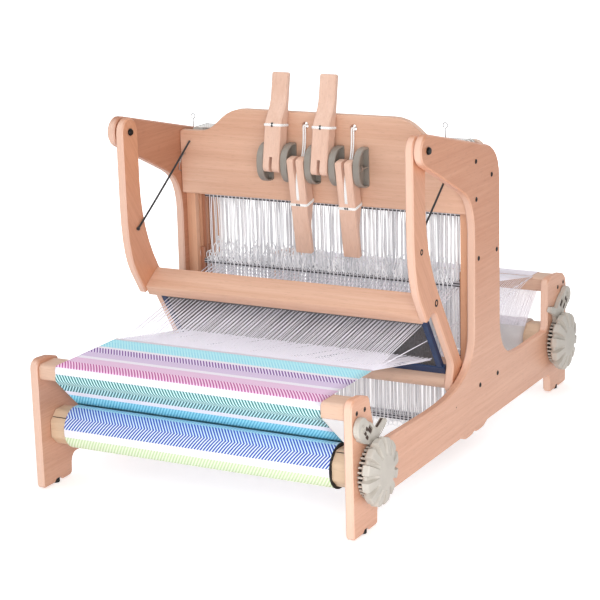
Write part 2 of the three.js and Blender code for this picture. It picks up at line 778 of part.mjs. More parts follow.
for (let i = 0; i < LEVER_COUNT; i++) {
  const whole = unite(shaftBranch(i, -1), shaftBranch(i, 1), leverBranch(i));
  addMesh(`lift_cord_${i + 1}`, whole, WHITE, 0.8);
}

// Beater arms: a hooked plate that hangs from the pivot and carries both rails and the reed.
const towardRear = [Math.cos(BEATER_LEAN), -Math.sin(BEATER_LEAN)];
const upward = [Math.sin(BEATER_LEAN), Math.cos(BEATER_LEAN)];

function armEdge(side, y) {
  const start = [side * ARM_TOP_R * towardRear[0], side * ARM_TOP_R * towardRear[1]];
  return meet(start, [start[0] + upward[0], start[1] + upward[1]], [y, 0], [y, 1]);
}

function armCrown(side) {
  const across = side * ARM_TOP_R;
  return [
    across * towardRear[0] + ARM_TOP_R * upward[0],
    across * towardRear[1] + ARM_TOP_R * upward[1],
    ARM_TOP_R - 0.1,
  ];
}

const beaterArmShape = plateShape(outline([
  armCrown(-1),
  [...armEdge(-1, ARM_FRONT), 90, 45],
  [ARM_FRONT, STUB_BOTTOM, 5],
  [STUB_BACK, STUB_BOTTOM, 4, 4],
  [STRIP_FRONT, STUB_BOTTOM - 6, 5, 8],
  [STRIP_FRONT, TOE_SLOPE_TOP, 12, 8],
  [TOE_FRONT, TOE_TOP, 6],
  [TOE_FRONT, ARM_BOTTOM, 7],
  [ARM_BACK, ARM_BOTTOM, 7],
  [...armEdge(1, ARM_BACK), 90, 90],
  armCrown(1),
]), [circle(0, 0, BOLT_R + 2 * FIT_GAP)]);

function onBeater(name, geometry, color, roughness) {
  const mesh = addMesh(name, geometry, color, roughness);
  mesh.position.set(0, PIVOT_Y, PIVOT_Z);
  mesh.rotation.x = BEATER_LEAN;
}

onBeater('beater_left_arm', alongX(beaterArmShape, -ARM_OUTER, ARM_PLATE, EDGE_ROUND), BEECH, 0.5);
onBeater('beater_right_arm', alongX(beaterArmShape, ARM_INNER, ARM_PLATE, EDGE_ROUND), BEECH, 0.5);

// Beater rails, each with a groove that holds the reed.
const railHalf = ARM_INNER - FIT_GAP;
const grooveFront = REED_Y - REED_THICKNESS / 2 - FIT_GAP;
const grooveBack = REED_Y + REED_THICKNESS / 2 + FIT_GAP;
const topRailBottom = TOP_RAIL_TOP - TOP_RAIL_H;
const topGroove = topRailBottom + REED_GROOVE + FIT_GAP;
const topRail = plateShape(outline([
  [TOP_RAIL_FRONT, topRailBottom, RAIL_ROUND],
  [grooveFront, topRailBottom],
  [grooveFront, topGroove],
  [grooveBack, topGroove],
  [grooveBack, topRailBottom],
  [TOP_RAIL_FRONT + TOP_RAIL_DEPTH, topRailBottom, RAIL_ROUND],
  [TOP_RAIL_FRONT + TOP_RAIL_DEPTH, TOP_RAIL_TOP, RAIL_ROUND],
  [TOP_RAIL_FRONT, TOP_RAIL_TOP, RAIL_ROUND],
]));
onBeater('beater_top_rail', alongX(topRail, -railHalf, 2 * railHalf), BEECH, 0.45);

const bottomGroove = BOTTOM_RAIL_TOP - REED_GROOVE - FIT_GAP;
const bottomRailBottom = BOTTOM_RAIL_TOP - BOTTOM_RAIL_H;
const bottomRail = plateShape(outline([
  [BOTTOM_RAIL_FRONT, bottomRailBottom, 10],
  [BOTTOM_RAIL_FRONT + BOTTOM_RAIL_DEPTH, bottomRailBottom, RAIL_ROUND],
  [BOTTOM_RAIL_FRONT + BOTTOM_RAIL_DEPTH, BOTTOM_RAIL_TOP, RAIL_ROUND],
  [grooveBack, BOTTOM_RAIL_TOP],
  [grooveBack, bottomGroove],
  [grooveFront, bottomGroove],
  [grooveFront, BOTTOM_RAIL_TOP],
  [BOTTOM_RAIL_FRONT, BOTTOM_RAIL_TOP, 10],
]));
onBeater('beater_bottom_rail', alongX(bottomRail, -railHalf, 2 * railHalf), BEECH, 0.45);

// Reed: two bands and two end bars round a row of upright wires.
function reedGeometry() {
  const half = ARM_INNER - 1.5;
  const low = BOTTOM_RAIL_TOP - REED_GROOVE;
  const high = topRailBottom + REED_GROOVE;
  return grating(half, low, high, REED_Y, REED_THICKNESS, REED_END_BAR, REED_BAND, REED_WIRE, REED_SLOTS);
}

onBeater('reed', reedGeometry(), NAVY, 0.4);

// Pivot bolts: head outside the frame, washer between frame and arm, button nut inside.
function boltGeometry(side) {
  const outer = HALF + FIT_GAP;
  const inner = ARM_INNER - FIT_GAP;
  const profile = [
    [0, inner - BOLT_HEAD_H],
    [BOLT_HEAD_R - 2, inner - BOLT_HEAD_H],
    [BOLT_HEAD_R, inner - 1.5],
    [BOLT_HEAD_R, inner],
    [BOLT_R, inner],
    [BOLT_R, ARM_OUTER + FIT_GAP],
    [WASHER_R, ARM_OUTER + FIT_GAP],
    [WASHER_R, INNER - FIT_GAP],
    [BOLT_R, INNER - FIT_GAP],
    [BOLT_R, outer],
    [BOLT_HEAD_R, outer],
    [BOLT_HEAD_R, outer + 2],
    [BOLT_HEAD_R - 1.5, outer + BOLT_HEAD_H],
    [0, outer + BOLT_HEAD_H],
  ];
  if (side > 0) return latheX(profile, 12, PIVOT_Y, PIVOT_Z);
  return latheX(profile.map(([radius, x]) => [radius, -x]).reverse(), 12, PIVOT_Y, PIVOT_Z);
}

addMesh('left_pivot_bolt', boltGeometry(-1), STEEL, 0.3, 0.9);
addMesh('right_pivot_bolt', boltGeometry(1), STEEL, 0.3, 0.9);

// Elastic cords that draw the beater back toward the castle.
function elasticGeometry(side) {
  const [y, z] = leaned(...ELASTIC_ARM);
  return cord([
    [side * (BETWEEN - ELASTIC_INSET), BOARD_FRONT_Y - 1.6, ELASTIC_BOARD_Z],
    [side * (ARM_INNER - ELASTIC_R - FIT_GAP), y, z],
  ], ELASTIC_R);
}

addMesh('left_elastic', elasticGeometry(-1), BLACK, 0.7);
addMesh('right_elastic', elasticGeometry(1), BLACK, 0.7);

// Rollers: an eight-sided beam on journals, the right one reaching out to the knob.
const knobEnd = HALF + RATCHET_GAP + RATCHET_W + KNOB_W;

function rollerOutline(y, gap) {
  const half = ROLLER_FLAT / 2 + gap;
  const inset = half - ROLLER_CORNER - gap * 0.4;
  return outline([
    [-inset, -half], [inset, -half], [half, -inset], [half, inset],
    [inset, half], [-inset, half], [-half, inset], [-half, -inset],
  ].map(([a, b]) => [a + y, b + ROLLER_Z, 4]));
}

function rollerGeometry(y) {
  const half = INNER - ROLLER_END_GAP;
  const body = alongX(plateShape(rollerOutline(y, 0)), -half, 2 * half);
  const end = HALF + RATCHET_GAP + 8;
  const journal = latheX([[0, -HALF], [JOURNAL_R, -HALF], [JOURNAL_R, end], [0, end]], 16, y, ROLLER_Z);
  return unite(body, journal);
}

addMesh('cloth_beam', rollerGeometry(ROLLER_Y), PALE_WOOD, 0.6);
addMesh('warp_beam', rollerGeometry(DEPTH - ROLLER_Y), PALE_WOOD, 0.6);

// What is wound on a roller: a sleeve over its flats, round outside.
function rollGeometry(y, radius) {
  const outer = circle(y, ROLLER_Z, radius);
  return alongX(plateShape(outer, [rollerOutline(y, FIT_GAP)]), -CLOTH_HALF, 2 * CLOTH_HALF);
}

addMesh('cloth_roll', rollGeometry(ROLLER_Y, CLOTH_ROLL_R), WHITE, 0.8);
addMesh('warp_roll', rollGeometry(DEPTH - ROLLER_Y, WARP_ROLL_R), WHITE, 0.8);

// The rear parts are the front ones turned about the middle of the depth.
function placed([y, z, ...rest], rear) {
  return [rear ? DEPTH - y : y, z, ...rest];
}

const toothStep = (2 * Math.PI) / RATCHET_TEETH;

function polar(angle, radius) {
  return [ROLLER_Y + radius * Math.cos(angle), ROLLER_Z + radius * Math.sin(angle)];
}

// Knobs: a ratchet ring and a lobed grip in one moulding, bored for the journal.
function knobGeometry(rear) {
  const teeth = [];
  for (let i = 0; i < RATCHET_TEETH; i++) {
    const root = i * toothStep;
    teeth.push(placed(polar(root, RATCHET_ROOT_R), rear));
    teeth.push(placed(polar(root + 0.6 * toothStep, RATCHET_R), rear));
    teeth.push(placed(polar(root + 0.88 * toothStep, RATCHET_R), rear));
  }
  const lobes = [];
  for (let i = 0; i < KNOB_LOBES; i++) {
    const turns = [[0, KNOB_NOTCH_R], [0.12, KNOB_R], [0.74, KNOB_R], [0.86, KNOB_NOTCH_R]];
    for (const [turn, radius] of turns) {
      lobes.push(placed(polar((i + turn) * (2 * Math.PI) / KNOB_LOBES, radius), rear));
    }
  }
  const start = HALF + RATCHET_GAP;
  const ring = alongX(plateShape(outline(teeth)), start, RATCHET_W + 2);
  const grip = alongX(plateShape(outline(lobes)), start + RATCHET_W, KNOB_W, 4);
  const [y] = placed([ROLLER_Y, ROLLER_Z], rear);
  const bore = circle(y, ROLLER_Z, JOURNAL_R + FIT_GAP);
  const boreEnd = 8 + FIT_GAP;
  return cut(unite(ring, grip), alongX(plateShape(bore), start - 1, boreEnd + 1));
}

addMesh('front_knob', knobGeometry(false), PLASTIC, 0.45);
addMesh('rear_knob', knobGeometry(true), PLASTIC, 0.45);

// Pawls: a boss on the right post, a tooth between two ratchet teeth and a finger tab.
function pawlGeometry(rear) {
  const root = Math.round(THREE.MathUtils.degToRad(70) / toothStep) * toothStep;
  const wall = polar(root + 0.05 * toothStep, RATCHET_ROOT_R + 0.9);
  const wallTop = polar(root + 0.02 * toothStep, RATCHET_R + 4);
  const toe = polar(root + 0.25 * toothStep, RATCHET_ROOT_R + 2.9);
  const heel = polar(root + 0.9 * toothStep, RATCHET_R + 3);
  const corners = [
    [PAWL_Y + 2, PAWL_Z + 16, 3],
    [PAWL_Y - 11, PAWL_Z - 17, 8],
    [PAWL_Y + 7, PAWL_Z - 27, 12],
    [PAWL_Y + 23, PAWL_Z - 32.5, 6],
    [heel[0] - 14, heel[1] + 1, 4],
    heel,
    toe,
    wall,
    wallTop,
    [wallTop[0] + 4, wallTop[1] + 9, 3],
    [PAWL_Y + 88, PAWL_Z - 13, 2],
    [PAWL_Y + 79, PAWL_Z - 5, 2],
    [PAWL_Y + 54, PAWL_Z - 16, 9],
    [PAWL_Y + 32, PAWL_Z + 1, 14],
  ];
  const [y, z] = placed([PAWL_Y, PAWL_Z], rear);
  const x = HALF + PAWL_GAP;
  const boss = alongX(plateShape(circle(y, z, PAWL_BOSS_R)), x, PAWL_BOSS_W, 1);
  const body = alongX(plateShape(outline(corners.map((corner) => placed(corner, rear)))), x, PAWL_W);
  const slot = [[PAWL_Y + 22, PAWL_Z - 4], [PAWL_Y + 34, PAWL_Z - 15]];
  const window = alongX(plateShape(outline([
    [slot[0][0] - 4, slot[0][1] - 4],
    [slot[1][0] - 4, slot[1][1] - 4],
    [slot[1][0] + 4, slot[1][1] + 4],
    [slot[0][0] + 4, slot[0][1] + 4],
  ].map((corner) => placed(corner, rear)))), x - 1, PAWL_BOSS_W + 2);
  return cut(unite(boss, body), window);
}

addMesh('front_pawl', pawlGeometry(false), PLASTIC, 0.5);
addMesh('rear_pawl', pawlGeometry(true), PLASTIC, 0.5);

// A web runs from a beam's top over its outer nose and down behind to the top of the roll.
function webLine(startY, rollR, thickness, rear) {
  const reach = BEAM_ROUND + SHEET_GAP + thickness / 2;
  const noseY = BEAM_SETBACK + BEAM_ROUND;
  const line = [[startY, BEAM_TOP - BEAM_ROUND + reach]];
  for (let i = 0; i <= 4; i++) {
    const angle = Math.PI / 2 + (i / 4) * (Math.PI / 2);
    line.push([noseY + reach * Math.cos(angle), BEAM_TOP - BEAM_ROUND + reach * Math.sin(angle)]);
  }
  const chinZ = BEAM_TOP - BEAM_H + BEAM_ROUND;
  for (let i = 0; i <= 2; i++) {
    const angle = Math.PI + (i / 2) * 0.85;
    line.push([noseY + reach * Math.cos(angle), chinZ + reach * Math.sin(angle)]);
  }
  const last = line[line.length - 1];
  const onRoll = rollR + SHEET_GAP + thickness / 2;
  const away = [last[0] - ROLLER_Y, last[1] - ROLLER_Z];
  const turn = Math.atan2(away[1], away[0]) - Math.acos(onRoll / Math.hypot(...away));
  line.push(polar(turn, onRoll));
  return line.map((point) => placed(point, rear));
}

const clothTop = BEAM_TOP + SHEET_GAP + CLOTH / 2;
const cloth = ribbon(webLine(FELL_Y, CLOTH_ROLL_R, CLOTH, false), CLOTH);
addMesh('cloth_web', alongX(cloth, -CLOTH_HALF, 2 * CLOTH_HALF), WHITE, 0.85);

// Warp: an open shed from the fell to the reed, two sheets on to the shafts, and the back shed.
const fell = [FELL_Y + 0.5, clothTop];
const shaftsMiddle = (shaftY[0] + shaftY[LEVER_COUNT - 1]) / 2;

function onReed(offset, eyeZ) {
  const face = REED_Y + offset;
  return meet(fell, [shaftsMiddle, eyeZ], leaned(face, topRailBottom), leaned(face, BOTTOM_RAIL_TOP));
}

function shedShape(root, up, low) {
  const inward = Math.sign(up[0] - root[0]) * 6;
  const half = WARP / 2;
  return new THREE.Shape([
    new THREE.Vector2(root[0], root[1] + half),
    new THREE.Vector2(up[0], up[1] + half),
    new THREE.Vector2(up[0], up[1] - half),
    new THREE.Vector2(root[0] + inward, root[1]),
    new THREE.Vector2(low[0], low[1] + half),
    new THREE.Vector2(low[0], low[1] - half),
    new THREE.Vector2(root[0], root[1] - half),
  ]);
}

// Wide strips stand for the threads: the sheet is cut open between them from one end band to the other.
function strips(sheet, front, back) {
  const pitch = (2 * CLOTH_HALF - WARP_STRIP_W) / WARP_STRIPS;
  const slots = [];
  for (let i = 0; i < WARP_STRIPS; i++) {
    const left = -CLOTH_HALF + WARP_STRIP_W + i * pitch;
    slots.push(block(left, left + pitch - WARP_STRIP_W, front, back, 0, PIVOT_Z));
  }
  return cut(sheet, ...slots);
}

const faceGap = REED_THICKNESS / 2 + FIT_GAP + WARP;
const upAtReed = onReed(-faceGap, EYE_UP);
const downAtReed = onReed(-faceGap, EYE_DOWN);
const frontShed = alongX(shedShape(fell, upAtReed, downAtReed), -CLOTH_HALF, 2 * CLOTH_HALF);
const frontEnd = Math.min(upAtReed[0], downAtReed[0]) - WARP_END_BAND;
addMesh('warp_front', strips(frontShed, fell[0] + WARP_END_BAND, frontEnd), WHITE, 0.85);

const heddleFront = FIRST_SHAFT_Y - SHAFT_THICKNESS / 2 - FIT_GAP;

function middleSheet(eyeZ) {
  const start = onReed(faceGap, eyeZ);
  const rise = (eyeZ - fell[1]) / (shaftsMiddle - fell[0]);
  const line = [start, [heddleFront, fell[1] + rise * (heddleFront - fell[0])]];
  const sheet = alongX(ribbon(line, WARP), -CLOTH_HALF, 2 * CLOTH_HALF);
  return strips(sheet, start[0] + WARP_END_BAND, heddleFront - WARP_END_BAND);
}

addMesh('warp_middle_upper', middleSheet(EYE_UP), WHITE, 0.85);
addMesh('warp_middle_lower', middleSheet(EYE_DOWN), WHITE, 0.85);

const backRoot = [backBeamFront + BEAM_ROUND, BEAM_TOP + SHEET_GAP + WARP / 2];
const heddleBack = shaftY[LEVER_COUNT - 1] + SHAFT_THICKNESS / 2 + FIT_GAP;
const backShape = shedShape(backRoot, [heddleBack, EYE_UP], [heddleBack, EYE_DOWN]);
const backShed = alongX(backShape, -CLOTH_HALF, 2 * CLOTH_HALF);
const backEnd = backRoot[0] - WARP_END_BAND;
addMesh('warp_back', strips(backShed, heddleBack + WARP_END_BAND, backEnd), WHITE, 0.85);

const tail = ribbon(webLine(DEPTH - backRoot[0] - FIT_GAP, WARP_ROLL_R, WARP, true), WARP);
addMesh('warp_tail', alongX(tail, -CLOTH_HALF, 2 * CLOTH_HALF), WHITE, 0.85);

// The origin is the middle of the footprint, on the table.
loom.updateMatrixWorld(true);
const box = new THREE.Box3().setFromObject(loom, true);
loom.position.set(-(box.min.x + box.max.x) / 2, -(box.min.y + box.max.y) / 2, -box.min.z);

export default loom;
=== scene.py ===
import math
import random

import bpy
from mathutils import Matrix, Vector


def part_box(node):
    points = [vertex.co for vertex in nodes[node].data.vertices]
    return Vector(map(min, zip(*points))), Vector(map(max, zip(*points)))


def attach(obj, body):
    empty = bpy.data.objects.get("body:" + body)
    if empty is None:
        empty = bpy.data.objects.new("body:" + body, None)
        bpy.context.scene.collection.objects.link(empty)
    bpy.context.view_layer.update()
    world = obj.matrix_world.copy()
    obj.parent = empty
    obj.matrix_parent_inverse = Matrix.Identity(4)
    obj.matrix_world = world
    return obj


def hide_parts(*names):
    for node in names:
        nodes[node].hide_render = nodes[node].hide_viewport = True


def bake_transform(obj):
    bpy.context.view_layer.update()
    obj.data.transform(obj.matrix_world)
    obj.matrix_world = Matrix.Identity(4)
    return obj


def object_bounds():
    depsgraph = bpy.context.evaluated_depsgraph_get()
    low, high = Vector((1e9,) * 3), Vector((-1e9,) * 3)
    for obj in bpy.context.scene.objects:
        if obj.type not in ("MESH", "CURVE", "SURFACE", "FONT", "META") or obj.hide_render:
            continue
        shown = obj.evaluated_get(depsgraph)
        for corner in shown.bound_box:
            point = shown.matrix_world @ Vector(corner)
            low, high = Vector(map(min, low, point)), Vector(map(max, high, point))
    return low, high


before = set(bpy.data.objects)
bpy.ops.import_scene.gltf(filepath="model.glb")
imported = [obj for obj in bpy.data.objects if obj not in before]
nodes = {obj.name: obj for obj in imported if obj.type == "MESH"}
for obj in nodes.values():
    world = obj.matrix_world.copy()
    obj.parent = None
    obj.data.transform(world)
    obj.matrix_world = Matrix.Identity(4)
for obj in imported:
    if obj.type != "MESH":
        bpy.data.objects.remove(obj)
cad_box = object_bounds()
rng = random.Random(11)

TURN = 2 * math.pi

# Sizes of the CAD model that the detail follows, in millimetres.
HALF = 305
DEPTH = 942
BACK_Y = 887
BACK_TOP = 221.6
ROLLER_Z = 100
ROLLERS = (("front", 60, "cloth_beam"), ("rear", 882, "warp_beam"))
REAR_ROLLER_Y = 882
PAWL_Z = 182
SHAFT_Y = [518, 529.5, 541, 552.5]
SHAFT_LOW = 22
SHAFT_H = 296
LIFT = 126
LEVER_X = [-72.75, -24.25, 24.25, 72.75]
AXLE = (457, 500.5)
HOLE_Z = 568
PULLEY_Z = 540
PIVOT = Vector((0, 297, 573))
LEAN = math.radians(33)
SIDES = ((-1, "left"), (1, "right"))

# Places are written in millimetres with y = 0 at the front of the side frames, x = 0 midway between
# them and z = 0 under their wooden feet, and are moved to the model's own origin here.
frame_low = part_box("left_side_frame")[0]
SHIFT = Vector((frame_low.x + HALF / 1000, frame_low.y, frame_low.z))


def at(x, y, z):
    return Vector((x, y, z)) / 1000 + SHIFT


def circle(x, y, z, radius, turns):
    """Points round a line along x, one for each angle in turns."""
    return [at(x, y + radius * math.cos(a), z + radius * math.sin(a)) for a in turns]


# The camera, as solved from the straight edges of the photograph, with its focal length in pixels.
CAMERA = (1586.33, -2509.88, 1124.35)
YAW = math.radians(28.55)
PITCH = math.radians(14.5)
ROLL = math.radians(-1.68)
FOCAL = 1911.34
PICTURE = 600
SENSOR = 36


def add_object(name, data):
    made = bpy.data.objects.new(name, data)
    bpy.context.scene.collection.objects.link(made)
    return made


def make_camera():
    ahead = Vector((-math.sin(YAW) * math.cos(PITCH), math.cos(YAW) * math.cos(PITCH), -math.sin(PITCH)))
    right = ahead.cross(Vector((0, 0, 1))).normalized()
    up = right.cross(ahead)
    side = right * math.cos(ROLL) + up * math.sin(ROLL)
    over = up * math.cos(ROLL) - right * math.sin(ROLL)
    data = bpy.data.cameras.new("camera")
    data.lens = FOCAL * SENSOR / PICTURE
    data.sensor_width = SENSOR
    data.clip_end = 60
    camera = add_object("camera", data)
    turn = Matrix((side, over, -ahead)).transposed().to_4x4()
    camera.matrix_world = Matrix.Translation(at(*CAMERA)) @ turn
    bpy.context.scene.camera = camera


def put(tree, socket, value):
    if isinstance(value, bpy.types.NodeSocket):
        tree.links.new(value, socket)
    else:
        socket.default_value = value


def fill(tree, node, inputs):
    """Sets or links a node's inputs by name, with underscores for the spaces."""
    for name, value in inputs.items():
        put(tree, node.inputs[name.replace("_", " ")], value)
    return node


def add_node(tree, kind, **inputs):
    return fill(tree, tree.nodes.new("ShaderNode" + kind), inputs)


def area_light(name, place, target, size, power):
    data = bpy.data.lights.new(name, "AREA")
    data.shape = "DISK"
    data.size = size
    data.energy = power
    light = add_object(name, data)
    light.location = place
    light.rotation_euler = (Vector(target) - Vector(place)).to_track_quat("-Z", "Y").to_euler()


def make_light():
    area_light("key", (1.1, -1.9, 0.85), (0.05, -0.15, 0.16), 1.1, 17.5)
    area_light("front", (0.25, -2.4, 0.5), (0.1, -0.3, 0.2), 1.0, 5.5)
    area_light("corner", (1.25, -1.25, 0.12), (0.33, -0.42, 0.1), 0.4, 2.2)
    area_light("left", (-2.0, -2.0, 2.2), (0, 0, 0.3), 1.8, 11)
    area_light("top", (-0.2, 0.2, 3.0), (0, 0, 0.2), 2.4, 27)
    area_light("back", (0.6, 2.6, 1.6), (0, 0.2, 0.25), 1.8, 10)
    world = bpy.data.worlds.new("world")
    world.use_nodes = True
    bpy.context.scene.world = world
    tree = world.node_tree
    tree.nodes.clear()
    out = add_node(tree, "OutputWorld")
    seen = add_node(tree, "Background", Color=(1, 1, 1, 1), Strength=1.0)
    lit = add_node(tree, "Background", Color=(0.97, 0.98, 1, 1), Strength=0.5)
    mix = add_node(tree, "MixShader", Fac=add_node(tree, "LightPath").outputs["Is Camera Ray"])
    put(tree, mix.inputs[1], lit.outputs[0])
    put(tree, mix.inputs[2], seen.outputs[0])
    put(tree, out.inputs[0], mix.outputs[0])


# How brightly the floor glows for all but the camera.
BOUNCE = 0.3
FLOOR_HALF = 14


def make_floor():
    data = bpy.data.meshes.new("floor")
    corners = [(x * FLOOR_HALF, y * FLOOR_HALF, 0) for x, y in ((-1, -1), (1, -1), (1, 1), (-1, 1))]
    data.from_pydata(corners, [], [(0, 1, 2, 3)])
    floor = add_object("floor", data)
    floor.location.z = cad_box[0][2]
    mat = bpy.data.materials.new("floor")
    mat.use_nodes = True
    tree = mat.node_tree
    tree.nodes.clear()
    out = add_node(tree, "OutputMaterial")
    diffuse = add_node(tree, "BsdfDiffuse", Color=(0.83, 0.83, 0.83, 1))
    away = add_node(tree, "VectorMath")
    away.operation = "LENGTH"
    put(tree, away.inputs[0], add_node(tree, "TexCoord").outputs["Object"])
    distance = away.outputs["Value"]
    fade = add_node(tree, "MapRange", Value=distance, From_Min=0.55, From_Max=1.6, To_Min=0.5, To_Max=1.0)
    seen = add_node(tree, "LightPath").outputs["Is Camera Ray"]
    most = add_node(tree, "Mix", Factor=seen, A=BOUNCE, B=fade.outputs[0])
    glow = add_node(tree, "Emission", Strength=most.outputs[0])
    add = add_node(tree, "AddShader")
    put(tree, add.inputs[0], diffuse.outputs[0])
    put(tree, add.inputs[1], glow.outputs[0])
    put(tree, out.inputs[0], add.outputs[0])
    data.materials.append(mat)


def linear(rgb):
    def one(c):
        c = c / 255
        return c / 12.92 if c <= 0.04045 else ((c + 0.055) / 1.055) ** 2.4
    return (*[one(c) for c in rgb], 1)


class Graph:
    """A material being wired: each helper makes one node and returns its output."""

    def __init__(self, name, roughness=0.5, metallic=0.0):
        self.mat = bpy.data.materials.new(name)
        self.mat.use_nodes = True
        self.tree = self.mat.node_tree
        self.bsdf = self.tree.nodes["Principled BSDF"]
        self.surface(Roughness=roughness, Metallic=metallic)

    def node(self, kind, **inputs):
        return add_node(self.tree, kind, **inputs)

    def surface(self, **inputs):
        fill(self.tree, self.bsdf, inputs)

    def math(self, operation, a, b=0.0, clamp=False):
        node = self.node("Math")
        node.operation = operation
        node.use_clamp = clamp
        put(self.tree, node.inputs[0], a)
        put(self.tree, node.inputs[1], b)
        return node.outputs[0]

    def plus(self, a, b):
        return self.math("ADD", a, b)

    def minus(self, a, b):
        return self.math("SUBTRACT", a, b)

    def times(self, a, b):
        return self.math("MULTIPLY", a, b)

    def coordinate(self, kind="Object"):
        return self.node("TexCoord").outputs[kind]

    def mapping(self, vector, scale=(1, 1, 1), rotation=(0, 0, 0), location=(0, 0, 0)):
        node = self.node("Mapping", Vector=vector, Location=location, Rotation=rotation, Scale=scale)
        return node.outputs[0]

    def axes(self, vector):
        return self.node("SeparateXYZ", Vector=vector).outputs[:]

    def noise(self, vector, scale=1.0, detail=3.0, roughness=0.5, distortion=0.0):
        inputs = {"Vector": vector, "Scale": scale, "Detail": detail}
        return self.node("TexNoise", **inputs, Roughness=roughness, Distortion=distortion).outputs["Fac"]

    def ramp(self, value, low, high, to_low=0.0, to_high=1.0):
        node = self.node("MapRange", Value=value, From_Min=low, From_Max=high, To_Min=to_low, To_Max=to_high)
        return node.outputs[0]

    def mix(self, factor, a, b, blend="MIX"):
        node = self.node("Mix", Factor=factor)
        node.data_type = "RGBA"
        node.blend_type = blend
        put(self.tree, node.inputs[6], a)
        put(self.tree, node.inputs[7], b)
        return node.outputs[2]

    def between(self, value, a, b):
        """From colour a to colour b where the value goes from 0.3 to 0.7."""
        return self.mix(self.ramp(value, 0.3, 0.7), linear(a), linear(b))

    def bump(self, height, distance, strength=1.0):
        bump = self.node("Bump", Strength=strength, Distance=distance, Height=height)
        self.surface(Normal=bump.outputs[0])


def wood(name, grain, pale, deep, turn=0.0, offset=0.0, banding=0.4, upper_shade=0.0, edge=None):
    """Fine straight grain along one axis, slow bands, short dark flecks and a satin lacquer.

    One argument sets painted shade: how much redder and darker the wood is in its upper part than near the
    floor, where less light falls.
    Edge is a painted highlight: the paler colour of the faces that look forward, where the light from the
    front falls.
    """
    g = Graph(name)
    here = g.mapping(g.coordinate(), rotation=(turn, 0, 0), location=(offset, offset * 0.7, offset * 1.3))
    k = "XYZ".index(grain)

    def stretched(across, along):
        scale = [across] * 3
        scale[k] = along
        return g.mapping(here, scale=scale)

    bands = g.noise(stretched(46, 0.9), 1.0, 2.0, 0.5, 0.5)
    fine = g.noise(stretched(230, 7), 1.0, 4.0, 0.6, 0.3)
    pores = g.noise(stretched(560, 62), 1.0, 1.0, 0.5)
    flecks = g.ramp(pores, 0.60, 0.68)
    tone = g.math("ADD", g.ramp(bands, 0.3, 0.7, 0, banding), g.ramp(fine, 0.3, 0.7, 0, 0.45), clamp=True)
    color = g.mix(tone, linear(pale), linear(deep))
    darker = g.mix(0.55, linear(deep), (0.12, 0.05, 0.03, 1))
    color = g.mix(g.times(flecks, 0.15), color, darker)
    # Painted shade: redder and darker towards the top.
    if upper_shade:
        height = g.axes(g.coordinate())[2]
        color = g.mix(g.ramp(height, 0.17, 0.38, 0, upper_shade), color, (0.86, 0.69, 0.56, 1), "MULTIPLY")
    # Painted highlight: forward faces are paled towards the edge colour.
    if edge:
        forward = g.times(g.axes(g.coordinate("Normal"))[1], -1.0)
        color = g.mix(g.ramp(forward, 0.3, 0.8, 0, 0.75), color, linear(edge))
    gloss = g.ramp(fine, 0.2, 0.8, 0.36, 0.5)
    g.surface(Base_Color=color, Roughness=gloss, Coat_Weight=0.25, Coat_Roughness=0.35)
    g.bump(g.minus(fine, g.times(flecks, 0.8)), 0.00012, 0.5)
    return g.mat


def plastic(name, rgb, roughness=0.45, speckle=0.06):
    g = Graph(name, roughness)
    here = g.coordinate()
    cloud = g.noise(here, 30, 3)
    grit = g.noise(here, 900, 2)
    color = g.between(cloud, rgb, [c * (1 - speckle) for c in rgb])
    g.surface(Base_Color=color, Roughness=g.ramp(grit, 0.3, 0.7, roughness - 0.05, roughness + 0.08))
    g.bump(grit, 0.00008, 0.4)
    return g.mat


def metal(name, rgb, roughness=0.3):
    g = Graph(name, roughness, 1.0)
    brush = g.noise(g.mapping(g.coordinate(), scale=(400, 400, 12)))
    color = g.between(brush, rgb, [c * 0.82 for c in rgb])
    g.surface(Base_Color=color, Roughness=g.ramp(brush, 0.3, 0.7, roughness - 0.06, roughness + 0.12))
    g.bump(brush, 0.00005, 0.4)
    return g.mat


def yarn(name, rgb, twist=1500, roughness=0.85, shade=0.86, glow=0.0):
    """Twisted cord or thread: slanted strands in colour and bump."""
    g = Graph(name, roughness)
    x, y, z = g.axes(g.coordinate())
    slant = g.plus(g.times(g.plus(x, z), twist), g.times(y, twist * 0.6))
    wave = g.ramp(g.math("SINE", slant), -1, 1)
    color = g.mix(wave, linear([c * shade for c in rgb]), linear(rgb))
    g.surface(Base_Color=color, Emission_Color=linear(rgb), Emission_Strength=glow, Sheen_Weight=0.2)
    g.bump(wave, 0.0002, 0.5)
    return g.mat


# The paler colour painted on forward faces as a highlight from the front light.
EDGE = (234, 198, 178)
FRAME_LOOK = {"banding": 0.3, "edge": EDGE}
# Two copies of one beech: the left frame's is painted darker for the shade on its inner face, the right
# frame's is the lit copy.
wood_y_shaded = wood("beech_y_shaded", "Y", (208, 157, 131), (184, 129, 101), upper_shade=0.8, **FRAME_LOOK)
wood_y_lit = wood("beech_y_lit", "Y", (230, 178, 149), (207, 148, 118), offset=3.1, upper_shade=1.0, **FRAME_LOOK)
wood_x = wood("beech_x", "X", (226, 184, 158), (203, 153, 124), offset=1.7)
wood_x2 = wood("beech_x2", "X", (222, 188, 165), (205, 164, 139), offset=5.3)
wood_arm = wood("beech_arm", "Z", (222, 160, 125), (199, 134, 98), turn=-LEAN, offset=2.3, edge=EDGE)
wood_lever = wood("beech_lever", "Z", (232, 196, 176), (214, 172, 148), offset=4.4)
wood_pale_x = wood("pale_x", "X", (224, 197, 168), (205, 174, 142), offset=6.1)
wood_guide = wood("beech_guide", "Z", (228, 176, 142), (208, 152, 118), offset=8.9)
grey_beige = plastic("grey_beige", (197, 190, 180))
bracket_grey = plastic("bracket_grey", (150, 143, 134), 0.35)
